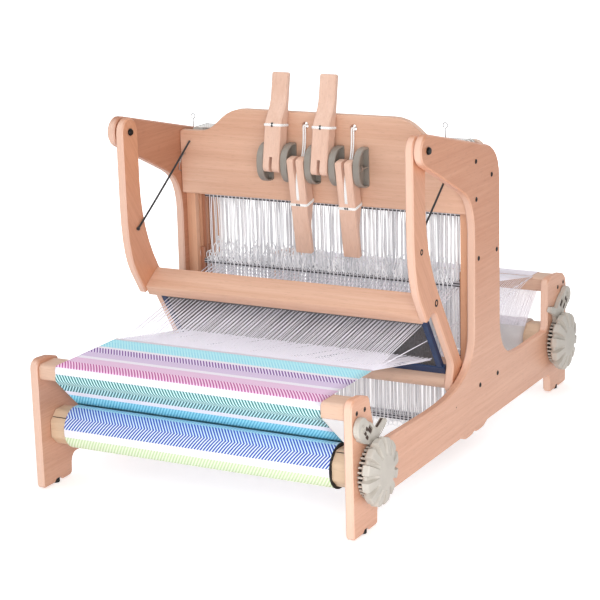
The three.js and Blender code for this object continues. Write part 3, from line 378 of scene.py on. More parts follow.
# Dark colour for painted shade in recesses.
recess_shade = plastic("recess_shade", (66, 48, 38), 0.7)
pulley_white = plastic("pulley_white", (205, 203, 198), 0.4)
rubber = plastic("rubber_black", (28, 28, 28), 0.8)
steel = metal("steel", (190, 190, 192))
dark_steel = metal("dark_steel", (52, 50, 50), 0.38)
navy = plastic("reed_navy", (38, 60, 98), 0.4, 0.15)
# The last number of each is a glow: painted light on the white cord and thread, against their own shade.
cord_white = yarn("cord_white", (244, 243, 241), 1500, 0.85, 0.9, 0.14)
thread_white = yarn("thread_white", (236, 232, 240), 5000, 0.9, 0.95, 0.19)
elastic_black = yarn("elastic_black", (30, 30, 32), 2500, 0.6, 0.6)


def heddle_material():
    """Loose white cord: brighter and duller runs across the loom are painted light and shade, and a glow
    paints the light shining through from behind.
    """
    g = Graph("heddle_white", 0.8)
    here = g.coordinate()
    # Painted light and shade: runs of brighter and duller cord.
    lit_and_shaded_runs = g.ramp(g.noise(g.mapping(here, scale=(170, 20, 1.2)), 1.0, 2.0, 0.6), 0.36, 0.64)
    color = g.mix(lit_and_shaded_runs, linear((206, 207, 211)), linear((250, 250, 252)))
    # The glow is painted light.
    g.surface(Base_Color=color, Emission_Color=color, Emission_Strength=0.13)
    g.bump(g.noise(here, 2500, 1), 0.0001, 0.4)
    return g.mat


def shaft_material():
    """Pale wooden uprights at the ends and dark flat steel rods between them, with painted shade: thin dark
    lines along the rods, under their edges.
    """
    g = Graph("shaft_frame", 0.45)
    here = g.coordinate()
    x, _, z = g.axes(here)
    rod = g.math("LESS_THAN", g.math("ABSOLUTE", g.minus(x, SHIFT.x)), 0.264)
    fine = g.noise(g.mapping(here, scale=(300, 300, 9)), 1.0, 3)
    timber = g.between(fine, (190, 134, 106), (166, 112, 86))
    brush = g.noise(g.mapping(here, scale=(12, 500, 500)), 1.0, 3)
    # Painted shade: two thin dark lines along each rod, where its edges are in shade.
    up = g.math("MODULO", g.times(g.minus(z, SHIFT.z), 1000), LIFT)
    level = g.math("MODULO", g.minus(up, SHAFT_LOW + 4), 10)
    off = g.minus(g.math("ABSOLUTE", g.minus(level, 4)), 2.3)
    rod_edge_shade = g.math("LESS_THAN", g.math("ABSOLUTE", off), 1.15)
    iron = g.between(brush, (206, 206, 210), (180, 180, 186))
    iron = g.mix(rod_edge_shade, iron, linear((62, 62, 66)))
    g.surface(Base_Color=g.mix(rod, timber, iron), Metallic=g.times(rod, 0.2))
    g.bump(fine, 0.0001, 0.4)
    return g.mat


heddle_white = heddle_material()


def smooth_group():
    """Smooth shading for the CAD nodes, with sharp edges kept."""
    group = bpy.data.node_groups.new("smooth_by_angle", "GeometryNodeTree")
    group.interface.new_socket("Geometry", in_out="INPUT", socket_type="NodeSocketGeometry")
    group.interface.new_socket("Geometry", in_out="OUTPUT", socket_type="NodeSocketGeometry")

    def made(kind, **inputs):
        return fill(group, group.nodes.new(kind), inputs)

    merge = made("GeometryNodeMergeByDistance", Geometry=made("NodeGroupInput").outputs[0], Distance=0.00001)
    sharp = made("FunctionNodeCompare")
    sharp.operation = "GREATER_THAN"
    put(group, sharp.inputs[0], made("GeometryNodeInputMeshEdgeAngle").outputs["Unsigned Angle"])
    put(group, sharp.inputs[1], math.radians(33))
    faces = made("GeometryNodeSetShadeSmooth", Geometry=merge.outputs[0], Shade_Smooth=True)
    faces.domain = "FACE"
    edges = made("GeometryNodeSetShadeSmooth", Geometry=faces.outputs[0], Shade_Smooth=False)
    edges.domain = "EDGE"
    put(group, edges.inputs["Selection"], sharp.outputs[0])
    put(group, made("NodeGroupOutput").inputs[0], edges.outputs[0])
    return group


BOX_FACES = ((0, 1, 3, 2), (4, 6, 7, 5), (0, 4, 5, 1), (2, 3, 7, 6), (0, 2, 6, 4), (1, 5, 7, 3))


def facing(face, kept):
    """The face as given, or turned over."""
    return tuple(face) if kept else tuple(reversed(face))


def piece(name, verts, faces, material, body, slot, replaces=(), smooth=True, uv=None, sharp=None):
    """One piece on a body, or, when body is a tuple (first, second, start, end), one left unparented where it
    stands.
    """
    data = bpy.data.meshes.new(name)
    data.from_pydata([tuple(v) for v in verts], [], faces)
    if uv is not None:
        layer = data.uv_layers.new(name="UVMap")
        for loop in data.loops:
            layer.data[loop.index].uv = uv[loop.vertex_index]
    data.validate()
    data.polygons.foreach_set("use_smooth", [smooth] * len(data.polygons))
    if sharp is not None:
        data.set_sharp_from_angle(angle=math.radians(sharp))
    data.materials.append(material)
    obj = add_object(name, data)
    if replaces:
        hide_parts(*replaces)
    if isinstance(body, str):
        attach(obj, body)
    else:
        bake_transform(obj)
    return obj


class Build:
    """Gathers vertices and faces of many small forms into one mesh."""

    def __init__(self):
        self.verts = []
        self.faces = []

    def skin(self, base, rings, sides, closed=False):
        """Faces between rings of vertices that follow one another from base on, and the end caps."""
        for i in range(rings if closed else rings - 1):
            a, b = base + i * sides, base + (i + 1) % rings * sides
            for s in range(sides):
                t = (s + 1) % sides
                self.faces.append((a + s, a + t, b + t, b + s))
        if not closed:
            last = base + (rings - 1) * sides
            self.faces.append(tuple(range(base + sides - 1, base - 1, -1)))
            self.faces.append(tuple(range(last, last + sides)))

    def tube(self, points, radius, sides, closed=False, flat=1.0):
        count = len(points)
        base = len(self.verts)
        normal = None
        for i, here in enumerate(points):
            if closed:
                ahead = points[(i + 1) % count] - points[i - 1]
            else:
                ahead = points[min(i + 1, count - 1)] - points[max(i - 1, 0)]
            ahead.normalize()
            if normal is None:
                normal = Vector((1, 0, 0)) if abs(ahead.x) < 0.8 else Vector((0, 0, 1))
            normal = (normal - ahead * normal.dot(ahead)).normalized()
            across = ahead.cross(normal)
            for s in range(sides):
                a = TURN * s / sides
                sideways = across * (radius * flat * math.sin(a))
                self.verts.append(here + normal * (radius * math.cos(a)) + sideways)
        self.skin(base, count, sides, closed)

    def box(self, lo, hi, placed):
        base = len(self.verts)
        corners = [(x, y, z) for x in (lo[0], hi[0]) for y in (lo[1], hi[1]) for z in (lo[2], hi[2])]
        self.verts += [placed(Vector(corner)) for corner in corners]
        self.faces += [tuple(base + k for k in face) for face in BOX_FACES]

    def turned(self, profile, centre, axis, steps):
        """A profile of (along, radius) turned about an axis through centre."""
        axis = Vector(axis).normalized()
        pick = Vector((0, 0, 1)) if abs(axis.z) < 0.8 else Vector((1, 0, 0))
        u = (pick - axis * pick.dot(axis)).normalized()
        w = axis.cross(u)
        base = len(self.verts)
        for along, radius in profile:
            for s in range(steps):
                a = TURN * s / steps
                self.verts.append(centre + axis * along + (u * math.cos(a) + w * math.sin(a)) * radius)
        self.skin(base, len(profile), steps)

    def done(self, name, material, body, **more):
        piece(name, self.verts, self.faces, material, body, **more)


def on_beater(v):
    """A point of the upright beater frame, in millimetres from the pivot, at its resting lean."""
    y = PIVOT.y + v.y * math.cos(LEAN) - v.z * math.sin(LEAN)
    z = PIVOT.z + v.y * math.sin(LEAN) + v.z * math.cos(LEAN)
    return at(v.x, y, z)


# The cloth: the height of its flat part, the place of the fell and the roll that it is wound on.
TOP = 221.9
FELL = 194
ROLL_Y, ROLL_Z, ROLL_R = 60, ROLLER_Z, 37.0


def cloth_path():
    reach, nose, chin = 7.9, 14, 200
    line = [(FELL - 12 * i, TOP) for i in range(15)]
    for i in range(9):
        a = math.pi / 2 + i / 8 * math.pi / 2
        line.append((nose + reach * math.cos(a), 214 + reach * math.sin(a)))
    for i in range(5):
        a = math.pi + i / 4 * 0.85
        line.append((nose + reach * math.cos(a), chin + reach * math.sin(a)))
    last = line[-1]
    away = (last[0] - ROLL_Y, last[1] - ROLL_Z)
    radius = ROLL_R + 0.9
    turn = math.atan2(away[1], away[0]) - math.acos(radius / math.hypot(*away))
    touch = (ROLL_Y + radius * math.cos(turn), ROLL_Z + radius * math.sin(turn))
    for i in range(1, 9):
        line.append((last[0] + (touch[0] - last[0]) * i / 8, last[1] + (touch[1] - last[1]) * i / 8))
    return line, turn


REPEAT = 5.8
CLOTH_GROUND = (240, 235, 246)
CLOTH_ASIDE = -4


def cloth_material(name, stripes):
    """White twill ground with coloured stripes, all on the repeat of one threading.

    Each stripe is (from, to, light, dark, lean, bend, share): its floats lean sideways by lean for
    each millimetre along the cloth and by bend for each millimetre squared, counted from `from`.
    Where two stripes meet, the floats of the second go on from those of the first."""
    g = Graph(name, 0.85)
    u, v, _ = g.axes(g.coordinate("UV"))
    twill = g.ramp(g.math("SINE", g.times(g.minus(u, v), math.pi)), -1, 1)
    knots = g.ramp(g.noise(g.mapping(g.coordinate("UV"), scale=(0.8, 0.8, 1)), 1.0, 2.0), 0.35, 0.65)
    color = g.mix(g.times(twill, 0.07), linear(CLOTH_GROUND), (0.45, 0.45, 0.5, 1))
    color = g.mix(g.times(knots, 0.05), color, (0.5, 0.48, 0.55, 1))
    relief = g.times(twill, 0.4)
    reached, carried = 0, 0
    for low, high, light, dark, lean, bend, share in stripes:
        inside = g.times(g.math("GREATER_THAN", v, low), g.math("LESS_THAN", v, high))
        run = g.minus(v, low)
        carried = carried if low == reached else 0
        slant = g.plus(g.plus(g.times(run, lean), g.times(g.times(run, run), bend)), carried)
        reached, carried = high, carried + (high - low) * (lean + (high - low) * bend)
        wave = g.math("SINE", g.times(g.plus(u, slant), TURN / REPEAT))
        edge = math.cos(math.pi * share)
        dash = g.ramp(wave, edge - 0.25, edge + 0.25)
        stripe = g.mix(dash, linear(light), linear(dark))
        stripe = g.mix(g.times(twill, 0.10), stripe, (0.2, 0.2, 0.25, 1))
        color = g.mix(inside, color, stripe)
        relief = g.plus(relief, g.times(g.times(dash, inside), 0.6))
    g.surface(Base_Color=color, Sheen_Weight=0.1)
    g.bump(relief, 0.0004, 0.6)
    return g.mat


WEB_STRIPES = [
    (8, 26, (184, 244, 255), (166, 234, 250), -0.68, 0, 0.5),
    (26, 54, (190, 246, 255), (156, 228, 246), -0.68, 0, 0.5),
    (63.5, 90, (240, 228, 252), (116, 60, 150), -0.66, 0, 0.46),
    (90, 114.5, (226, 208, 236), (212, 192, 224), 0.9, 0, 0.5),
    (126.5, 152.7, (240, 206, 232), (228, 188, 220), 0.9, 0, 0.5),
    (152.7, 185.2, (255, 216, 243), (190, 84, 156), -0.78, 0.002, 0.48),
    (197.8, 222, (206, 242, 244), (6, 112, 116), -0.55, 0, 0.5),
    (222, 248, (196, 240, 244), (2, 98, 106), 0.72, 0, 0.52),
    (264.5, 300, (158, 232, 250), (92, 192, 220), 0.66, 0, 0.46),
    # Painted shade: this darker teal is where the cloth runs onto the roll.
    (300, 330, (60, 150, 166), (40, 126, 144), 0.56, 0, 0.5),
]


def make_cloth():
    line, turn = cloth_path()
    spans = 26
    width = spans + 1
    verts, uv, faces = [], [], []
    along = [0.0]
    for a, b in zip(line, line[1:]):
        along.append(along[-1] + math.dist(a, b))
    drift = [rng.uniform(-0.5, 0.5) for _ in line]
    for i, (y, z) in enumerate(line):
        a, b = line[max(i - 1, 0)], line[min(i + 1, len(line) - 1)]
        n = Vector((a[1] - b[1], b[0] - a[0])).normalized()
        if n.y > 0 or (abs(n.y) < 0.3 and n.x < 0):
            n = -n
        half = 252 + drift[i] * 0.6
        flare = 10 * max(0, (along[i] - 205) / 108)
        for side in (-1, 1):
            for k in range(width):
                x = CLOTH_ASIDE + half - (2 * half + flare) * (1 - k / spans)
                verts.append(at(x, y + n.x * 0.55 * side, z + n.y * 0.55 * side))
                uv.append((x, along[i]))
    for i in range(len(line) - 1):
        for side in (0, 1):
            for k in range(spans):
                a = (i * 2 + side) * width + k
                faces.append(facing((a, a + 1, a + 2 * width + 1, a + 2 * width), side == 0))
        for k in (0, spans):
            a, b = i * 2 * width + k, (i * 2 + 1) * width + k
            faces.append(facing((a, b, b + 2 * width, a + 2 * width), k == 0))
    for i in (0, len(line) - 1):
        for k in range(spans):
            a = i * 2 * width + k
            faces.append(facing((a, a + width, a + width + 1, a + 1), i == 0))
    mat = cloth_material("cloth_striped", WEB_STRIPES)
    cloth = piece("cloth_sheet", verts, faces, mat, "frame", replaces=["cloth_web"], slot="cloth", uv=uv)

    # The wound cloth shows another stretch of the stripes round its last turn, and its layers at the ends.
    roll = Build()
    steps, spans, layers = 72, 20, 9
    left, right = -257.5, 251.5
    outer, layer = ROLL_R - 0.15, 0.62
    uv = []

    back = [TURN * s / steps for s in range(steps + 1)]

    def add_ring(x, aside, radius):
        roll.verts.extend(circle(x + aside, ROLL_Y, ROLL_Z, radius, [turn - a for a in back]))
        uv.extend((x, a * ROLL_R) for a in back)

    def join_rings(first, count, kept):
        for ring in range(count - 1):
            for s in range(steps):
                a = first + ring * (steps + 1) + s
                b = a + steps + 1
                roll.faces.append((a, a + 1, b + 1, b) if kept else (a, b, b + 1, a + 1))

    for k in range(spans + 1):
        add_ring(left + (right - left) * k / spans, 0, outer)
    join_rings(0, spans + 1, True)
    for x, outward in ((left, -1), (right, 1)):
        first = len(roll.verts)
        for ring in range(layers):
            aside = 0 if ring == 0 else outward * (0.5 if ring % 2 else -0.1)
            add_ring(x, aside, outer - ring * layer)
        join_rings(first, layers, outward > 0)

    def place(angle):
        """How far round the roll an angle in degrees lies from where the cloth meets it."""
        return ((math.degrees(turn) - angle) % 360) * TURN * ROLL_R / 360

    stripes = [
        (place(172.5), place(139.4), (226, 238, 255), (34, 72, 178), -0.72, 0, 0.52),
        (place(139.4), place(100), (216, 236, 255), (38, 80, 190), 0.77, 0, 0.52),
        (place(275), place(194), (236, 245, 218), (202, 222, 174), -0.62, 0, 0.5),
        (place(100), place(60), (206, 232, 246), (160, 210, 230), 0, 0, 0.5),
    ]
    # A dark ring at the right end of the roll: painted shade on that end.
    rim = Build()
    profile = [(-0.0012, 0.0345), (-0.0012, 0.0377), (0.0008, 0.0377), (0.0008, 0.0345)]
    rim.turned(profile, at(252.8, ROLL_Y, ROLL_Z), (1, 0, 0), 60)
    rim.done("cloth_end_shade_ring", rubber, "cloth_beam", slot="cloth", sharp=40)
    mat = cloth_material("cloth_wound", stripes)
    roll.done("cloth_winding", mat, "cloth_beam", replaces=["cloth_roll"], slot="cloth", uv=uv, sharp=40)


# The warp is drawn with fewer and thicker threads than the real one, so that they can be told apart.
THREADS = 252
THREAD_R = 0.00072
FELL_HALF = 249.5
SHAFT_HALF = 255
EYE_LOW = 224 - LIFT / 2


def raised(k):
    return k % 2 == 1


def lift(k):
    return LIFT if raised(k) else 0


def eye_z(k):
    return EYE_LOW + lift(k)


def thread_x(i, half):
    """Where thread i lies, when the outer ones lie at half on each side."""
    return -half + 2 * half * i / (THREADS - 1)


def make_warp():
    for k in range(4):
        front, back = Build(), Build()
        for i in range(k, THREADS, 4):
            xf, xr = thread_x(i, FELL_HALF), thread_x(i, SHAFT_HALF)
            z = eye_z(k) + rng.uniform(-1.2, 1.2)
            y = SHAFT_Y[k]
            fell = (FELL - 0.5 + rng.uniform(-0.8, 0.8), TOP - 0.2)
            pts = []
            for t in (0, 0.28, 0.55, 0.8, 1):
                spread = min(1, t / 0.57)
                sag = -1.2 * math.sin(math.pi * t) * rng.uniform(0.2, 1)
                x = xf + (xr - xf) * spread
                pts.append(at(x, fell[0] + (y - fell[0]) * t, fell[1] + (z - fell[1]) * t + sag))
            front.tube(pts, THREAD_R * rng.uniform(1.0, 1.5), 4)
            end = (BACK_Y + rng.uniform(-1, 1), BACK_TOP)
            pts = []
            for t in (0, 0.35, 0.7, 1):
                sag = -1.5 * math.sin(math.pi * t) * rng.uniform(0.2, 1)
                pts.append(at(xr, y + (end[0] - y) * t, z + (end[1] - z) * t + sag))
            back.tube(pts, THREAD_R, 4)
        middle = at(0, SHAFT_Y[k], eye_z(k))
        for word, build, start, sheets in (
            ("front", front, at(0, FELL, TOP), ["warp_front", "warp_middle_upper", "warp_middle_lower"]),
            ("back", back, at(0, BACK_Y, BACK_TOP), ["warp_back"]),
        ):
            body = ("frame", f"shaft_{k + 1}", start, middle)
            swap = sheets if k == 0 else []
            build.done(f"warp_threads_{word}_{k + 1}", thread_white, body, replaces=swap, slot="warp_yarn")

    tail = Build()
    line, _ = cloth_path()
    turned = [(DEPTH - y, z - 0.2) for y, z in line if y < 60 or z < 221]
    for i in range(THREADS):
        x = thread_x(i, 251)
        pts = [at(x + rng.uniform(-0.3, 0.3), y, z) for y, z in turned[::2] + turned[-1:]]
        tail.tube(pts, THREAD_R, 4)
    # A thread beyond the cloth's edge that runs through the reed and between the shafts' bars.
    places = ((248.5, FELL, TOP + 0.3), (256.4, 400, 221.2), (256.4, 640, 221.4), (256.4, BACK_Y, 221.8))
    tail.tube([at(*place) for place in places], 0.0009, 4)
    tail.done("warp_threads_tail", thread_white, "frame", replaces=["warp_tail"], slot="warp_yarn")

    wound = Build()
    steps, spans = 48, 60
    half, core = 251, 31.5

    turns = [TURN * s / steps for s in range(steps)]

    def add_ring(k, r):
        wound.verts.extend(circle(-half + 2 * half * k / spans, REAR_ROLLER_Y, ROLLER_Z, r, turns))

    for k in range(spans + 1):
        add_ring(k, 37.4 + rng.uniform(-0.5, 0.3))
    for k in range(spans):
        for s in range(steps):
            t = (s + 1) % steps
            wound.faces.append((k * steps + s, (k + 1) * steps + s, (k + 1) * steps + t, k * steps + t))
    for k in (0, spans):
        inner = len(wound.verts)
        add_ring(k, core)
        for s in range(steps):
            t = (s + 1) % steps
            wound.faces.append(facing((k * steps + s, k * steps + t, inner + t, inner + s), k == 0))
    g = Graph("warp_wound", 0.9)
    lines = g.ramp(g.math("SINE", g.times(g.axes(g.coordinate())[0], TURN / 0.0021)), -1, 1)
    cloud = g.ramp(g.noise(g.coordinate(), 40, 2), 0.3, 0.7, 0.5, 1)
    color = g.mix(g.times(lines, cloud), linear((205, 204, 204)), linear((242, 242, 241)))
    g.surface(Base_Color=color)
    g.bump(lines, 0.0005, 0.8)
    wound.done("warp_winding", g.mat, "warp_beam", replaces=["warp_roll"], slot="warp_yarn")


def make_heddles():
    for k in range(4):
        b = Build()
        low = SHAFT_LOW + lift(k)
        bottom, top = low + 4, low + 274
        y = SHAFT_Y[k]
        for i in range(k, THREADS, 4):
            x = thread_x(i, SHAFT_HALF)
            wander = rng.uniform(-2.2, 2.2)
            for side in (-1, 1):
                pts = []
                for t in (0, 0.12, 0.3, 0.46, 0.5, 0.54, 0.7, 0.88, 1):
                    z = bottom - 2 + (top - bottom + 4) * t
                    swell = 1.15 * math.sin(math.pi * min(1, 2 * abs(t - 0.5) * 1.02))
                    swell = {0: 0.6, 0.46: 0.35, 0.5: 1.7, 0.54: 0.35, 1: 0.6}.get(t, swell)
                    bow = wander * math.sin(TURN * t) + rng.uniform(-0.25, 0.25)
                    depth = {0: 3.1, 0.12: 1.4, 0.88: 1.4, 1: 3.1}.get(t, 0.5)
                    pts.append(at(x + side * swell + bow, y + side * depth, z))
                b.tube(pts, rng.uniform(0.00085, 0.0013), 4, flat=0.5)
            # Where each heddle passes round the rods.
            for z0, sign in ((bottom - 2, -1), (top + 2, 1)):
                loop = []
                for s in range(5):
                    a = math.pi * s / 4
                    aside, back, up = 0.6 * math.cos(a), 3.1 * math.cos(a), sign * 2.2 * math.sin(a)
                    loop.append(at(x + aside, y + back, z0 + up))
                b.tube(loop, 0.0008, 4)
        # Small loops that hang under the lower rods.
        for i in range(k, THREADS, 5):
            x = thread_x(i, 252)
            r = rng.uniform(3.6, 7.6)
            tilt = rng.uniform(-0.8, 0.8)
            loop = []
            for s in range(9):
                a = -math.pi / 2 + TURN * s / 9 + tilt
                back, up = 3.4 + 0.5 * math.sin(a), r * math.sin(a) - 5 - r
                loop.append(at(x + r * math.cos(a), y + back, bottom + up))
            b.tube(loop, 0.00045, 4, closed=True)
        # Slack bows that stand up in front of the upper rods.
        foot = top - 3
        for i in range(k, THREADS, 2):
            x = thread_x(i, 252)
            rise = rng.uniform(14, 44)
            lean = rng.uniform(-7, 7)
            wide = rng.uniform(2.2, 5.5)
            bend = [(0, 0), (wide, rise * 0.45), (lean + wide * 0.5, rise)]
            bend += [(lean - wide * 0.8, rise * 0.8), (-wide, rise * 0.3), (0.6, 0)]
            b.tube(smooth_line([at(x + dx, y - 3.6, foot + dz) for dx, dz in bend], 3), 0.0008, 4)
        swap = [f"heddles_{k + 1}"]
        b.done(f"heddle_set_{k + 1}", heddle_white, f"shaft_{k + 1}", replaces=swap, slot="heddle_cord")


# The reed, from the pivot of the upright beater: how far forward it lies and the height of its opening.
REED_Y = -110
REED_LOW, REED_HIGH = -412, -294


def make_reed():
    bands = Build()
    half, thick, r = 272, 5, 1.6
    for low, high in ((REED_LOW - 24, REED_LOW), (REED_HIGH, REED_HIGH + 24)):
        corners = [(-thick + r, low), (thick - r, low), (thick, low + r), (thick, high - r)]
        corners += [(thick - r, high), (-thick + r, high), (-thick, high - r), (-thick, low + r)]
        base = len(bands.verts)
        for x in (-half, half):
            for y, z in corners:
                bands.verts.append(on_beater(Vector((x, REED_Y + y, z))))
        n = len(corners)
        for s in range(n):
            t = (s + 1) % n
            bands.faces.append((base + s, base + n + s, base + n + t, base + t))
        bands.faces += [tuple(range(base, base + n)), tuple(range(base + 2 * n - 1, base + n - 1, -1))]
    for x0 in (-268, 258):
        bands.box((x0, REED_Y - 4.6, REED_LOW), (x0 + 10, REED_Y + 4.6, REED_HIGH), on_beater)
    bands.done("reed_bands", navy, "beater", replaces=["reed"], slot="reed_metal", smooth=False)
    wires = Build()
    for i in range(THREADS + 1):
        x = -256 + 512 * i / THREADS
        low, high = (x - 0.22, REED_Y - 3.2, REED_LOW - 0.5), (x + 0.22, REED_Y + 3.2, REED_HIGH + 0.5)
        wires.box(low, high, on_beater)
    wires.done("reed_wires", steel, "beater", slot="reed_metal", smooth=False)


def on_lever(k, x, back, up):
    """A point of lever k, in millimetres from its axle: aside, toward its back and toward its tip."""
    turn = math.radians(189 if raised(k) else -10.5)
    y = AXLE[0] + back * math.cos(turn) - up * math.sin(turn)
    z = AXLE[1] + back * math.sin(turn) + up * math.cos(turn)
    return at(LEVER_X[k] + x, y, z)


def smooth_line(points, steps):
    """A Catmull-Rom line through the points."""
    out = []
    n = len(points)
    for i in range(n - 1):
        p0, p1, p2, p3 = points[max(i - 1, 0)], points[i], points[i + 1], points[min(i + 2, n - 1)]
        for s in range(steps):
            t = s / steps
            square, cube = 2 * p0 - 5 * p1 + 4 * p2 - p3, 3 * p1 - p0 - 3 * p2 + p3
            out.append(0.5 * ((2 * p1) + (p2 - p0) * t + square * t * t + cube * t ** 3))
    out.append(points[-1])
    return out


# The drops hang beside the ends of the shafts, tangent to the pulleys.
PULLEY_X = 268
PULLEY_TURN = 8.4
DROP_X = PULLEY_X + PULLEY_TURN
# A knot's profile, and the path of a tail below it: aside, back and up, in millimetres.
KNOT = [(-0.0005, 0.0008), (0.0003, 0.0024), (0.0022, 0.0028), (0.004, 0.0022), (0.005, 0.0010)]
TAIL = [(0, -1, 2), (3.5, -3.6, -4), (4.6, -3.9, -14), (2.4, -4, -60), (3.4, -4, -112)]
# The strand on one side from the board to a lever, by whether that lever's shaft is raised: places in the
# frame as (aside, y, z), and then places along the lever as (toward its back, toward its tip).
STRANDS = {
    True: ([(1.5, 490, 568), (2, 485.5, 566), (2, 484.5, 546), (2, 480, 522), (1.5, 470, 503)],
           [(0, 8), (8.5, 26), (11.5, 44), (12.6, 62)]),
    False: ([(1.5, 489, 568), (1.5, 486.3, 562), (1.5, 486, 540), (1.5, 484, 518), (1.5, 478, 512)],
            [(9, 22), (9.5, 42), (11.5, 62)]),
}
STRAND_HALF = 1.5
# The band round a lever: aside and toward its back, in millimetres from the axle.
BAND = [(-17.4, -13), (-17.4, 11.5), (-15, 13.9), (15, 13.9), (17.4, 11.5), (17.4, -13)]
BAND += [(15, -15.9), (-15, -15.9)]


def make_lift_cords():
    for k in range(4):
        x, y = LEVER_X[k], SHAFT_Y[k]
        shaft, lever = f"shaft_{k + 1}", f"lever_{k + 1}"
        run = Build()
        for side in (-1, 1):
            pts = [at(x, 503, HOLE_Z + 0.3 + 0.3 * side), at(x + side * 0.8, (503 + y) / 2, 560)]
            pts += [at(x + side * 2.5, y - 1.5, 549.6), at(x + side * 9, y, 548.4)]
            pts = smooth_line(pts, 3)
            for i in range(7):
                a = math.pi / 2 - i / 6 * math.pi / 2
                aside, up = PULLEY_TURN * math.cos(a), PULLEY_TURN * math.sin(a)
                pts.append(at(side * (PULLEY_X + aside), y, PULLEY_Z + up))
            run.tube(pts, 0.00125, 6)
        run.tube([at(x, 503.5, HOLE_Z), at(x, 488, HOLE_Z)], 0.0019, 8)
        run.done(f"lift_run_{k + 1}", cord_white, "frame", replaces=[f"lift_cord_{k + 1}"], slot="lift_cord")
        bottom = SHAFT_LOW + lift(k) + SHAFT_H
        for side, word in SIDES:
            drop = Build()
            pts = [at(side * DROP_X, y, PULLEY_Z + (bottom - PULLEY_Z) * t / 6) for t in range(7)]
            drop.tube(pts, 0.0017, 6)
            body = ("frame", shaft, pts[0], pts[-1])
            drop.done(f"lift_drop_{word}_{k + 1}", cord_white, body, slot="lift_cord")
            knot = Build()
            knot.turned(KNOT, at(side * DROP_X, y, bottom), (0, 0, 1), 10)
            for out in (-1, 1):
                tail = [at(side * DROP_X + out * aside, y + back, bottom + up) for aside, back, up in TAIL]
                knot.tube(smooth_line(tail, 3), 0.0011, 6)
            knot.done(f"shaft_knot_{word}_{k + 1}", cord_white, shaft, slot="lift_cord")
        free = Build()
        places, along = STRANDS[raised(k)]
        for side in (-1, 1):
            pts = [at(x + side * aside, back, up) for aside, back, up in places]
            pts += [on_lever(k, side * STRAND_HALF, back, up) for back, up in along]
            free.tube(smooth_line(pts, 5), 0.00142, 6)
        if raised(k):
            body = ("frame", lever, at(x, 481, 527), on_lever(k, 0, 0, 8))
        else:
            body = ("frame", lever, at(x, 485.5, 540), at(x, 473, 540))
        free.done(f"lift_strand_{k + 1}", cord_white, body, slot="lift_cord")
        # The band round the lever that ties the cord, with its two knots.
        band = Build()
        for up in (68.4, 70.6):
            ring = []
            for aside, back in BAND:
                ring.append(on_lever(k, aside, back, up + (1.2 if back > 0 else 0)))
            band.tube(ring, 0.0013, 6, closed=True)
        band.done(f"lever_band_{k + 1}", cord_white, lever, slot="lift_cord")
        dots = Build()
        face, beyond, knots = 14.6, 19.6, ((-2.2, 70.4), (2.2, 70.4))
        if not raised(k):
            face, beyond, knots = -16.6, -21.6, ((0, 67.6), (0, 71.8))
        for aside, up in knots:
            place = on_lever(k, aside, face, up)
            profile = [(-0.0014, 0.0013), (0.0002, 0.0022), (0.0009, 0.0016)]
            dots.turned(profile, place, on_lever(k, aside, beyond, up) - place, 8)
        dots.done(f"lever_knots_{k + 1}", elastic_black, lever, slot="elastic")


def make_elastics():
    for side, word in SIDES:
        start = at(side * 268, 486.4, 526)
        end = on_beater(Vector((side * 271.2, -90, -152)))
        b = Build()
        sag = [-0.0015 * math.sin(math.pi * t / 12) for t in range(13)]
        b.tube([start.lerp(end, t / 12) + Vector((0, 0, sag[t])) for t in range(13)], 0.0019, 8)
        body = ("frame", "beater", start, end)
        b.done(f"elastic_cord_{word}", elastic_black, body, replaces=[f"{word}_elastic"], slot="elastic")
        knot = Build()
        profile = [(-0.003, 0.001), (-0.002, 0.003), (0.0005, 0.0035), (0.0022, 0.003), (0.003, 0.001)]
        knot.turned(profile, end, end - start, 10)
        knot.done(f"elastic_knot_{word}", elastic_black, "beater", slot="elastic")


def ratchet_material(word, centre):
    """The moulding's plastic, with painted shade darkening it between the teeth."""
    g = Graph(f"{word}_ratchet", 0.5)
    _, y, z = g.axes(g.coordinate())
    middle = at(0, centre, ROLLER_Z)
    dy, dz = g.minus(y, middle.y), g.minus(z, middle.z)
    away = g.math("SQRT", g.plus(g.times(dy, dy), g.times(dz, dz)))
    grit = g.noise(g.coordinate(), 900, 2)
    face = g.between(grit, (197, 190, 180), (186, 178, 168))
    # Painted shade in the gaps between the teeth.
    g.surface(Base_Color=g.mix(g.ramp(away, 0.0425, 0.0452), linear((38, 28, 24)), face))
    g.bump(grit, 0.00008, 0.4)
    return g.mat


# The edges of the front pawl that a rim follows, as (y, z), and its slots, as (y, z, half length along
# y and z, half width, x). The rear pawl mirrors them.
PAWL_EDGES = (
    [(29.5, 191.6), (54, 181), (66, 169.5), (74, 167.3), (97.5, 175.4), (106, 169), (90, 157.5), (79, 153)],
    [(13, 167.5), (20, 160.3), (28, 156.2), (40, 151.6), (52, 150.6)],
)
PAWL_SLOTS = (
    (48.2, 172.2, 5.4, -5.0, 3.6, 312.8), (31.5, 178.5, 3.4, -3.1, 3.2, 315.85),
    (26.0, 173.0, 3.8, -3.5, 3.0, 315.85), (35.2, 163.8, 4.6, -4.2, 3.2, 313.9),
)
ROUNDED = [(-0.6, -1), (0.6, -1), (0.9, -0.7), (1, 0), (0.9, 0.7)]
ROUNDED += [(-a, -b) for a, b in ROUNDED]


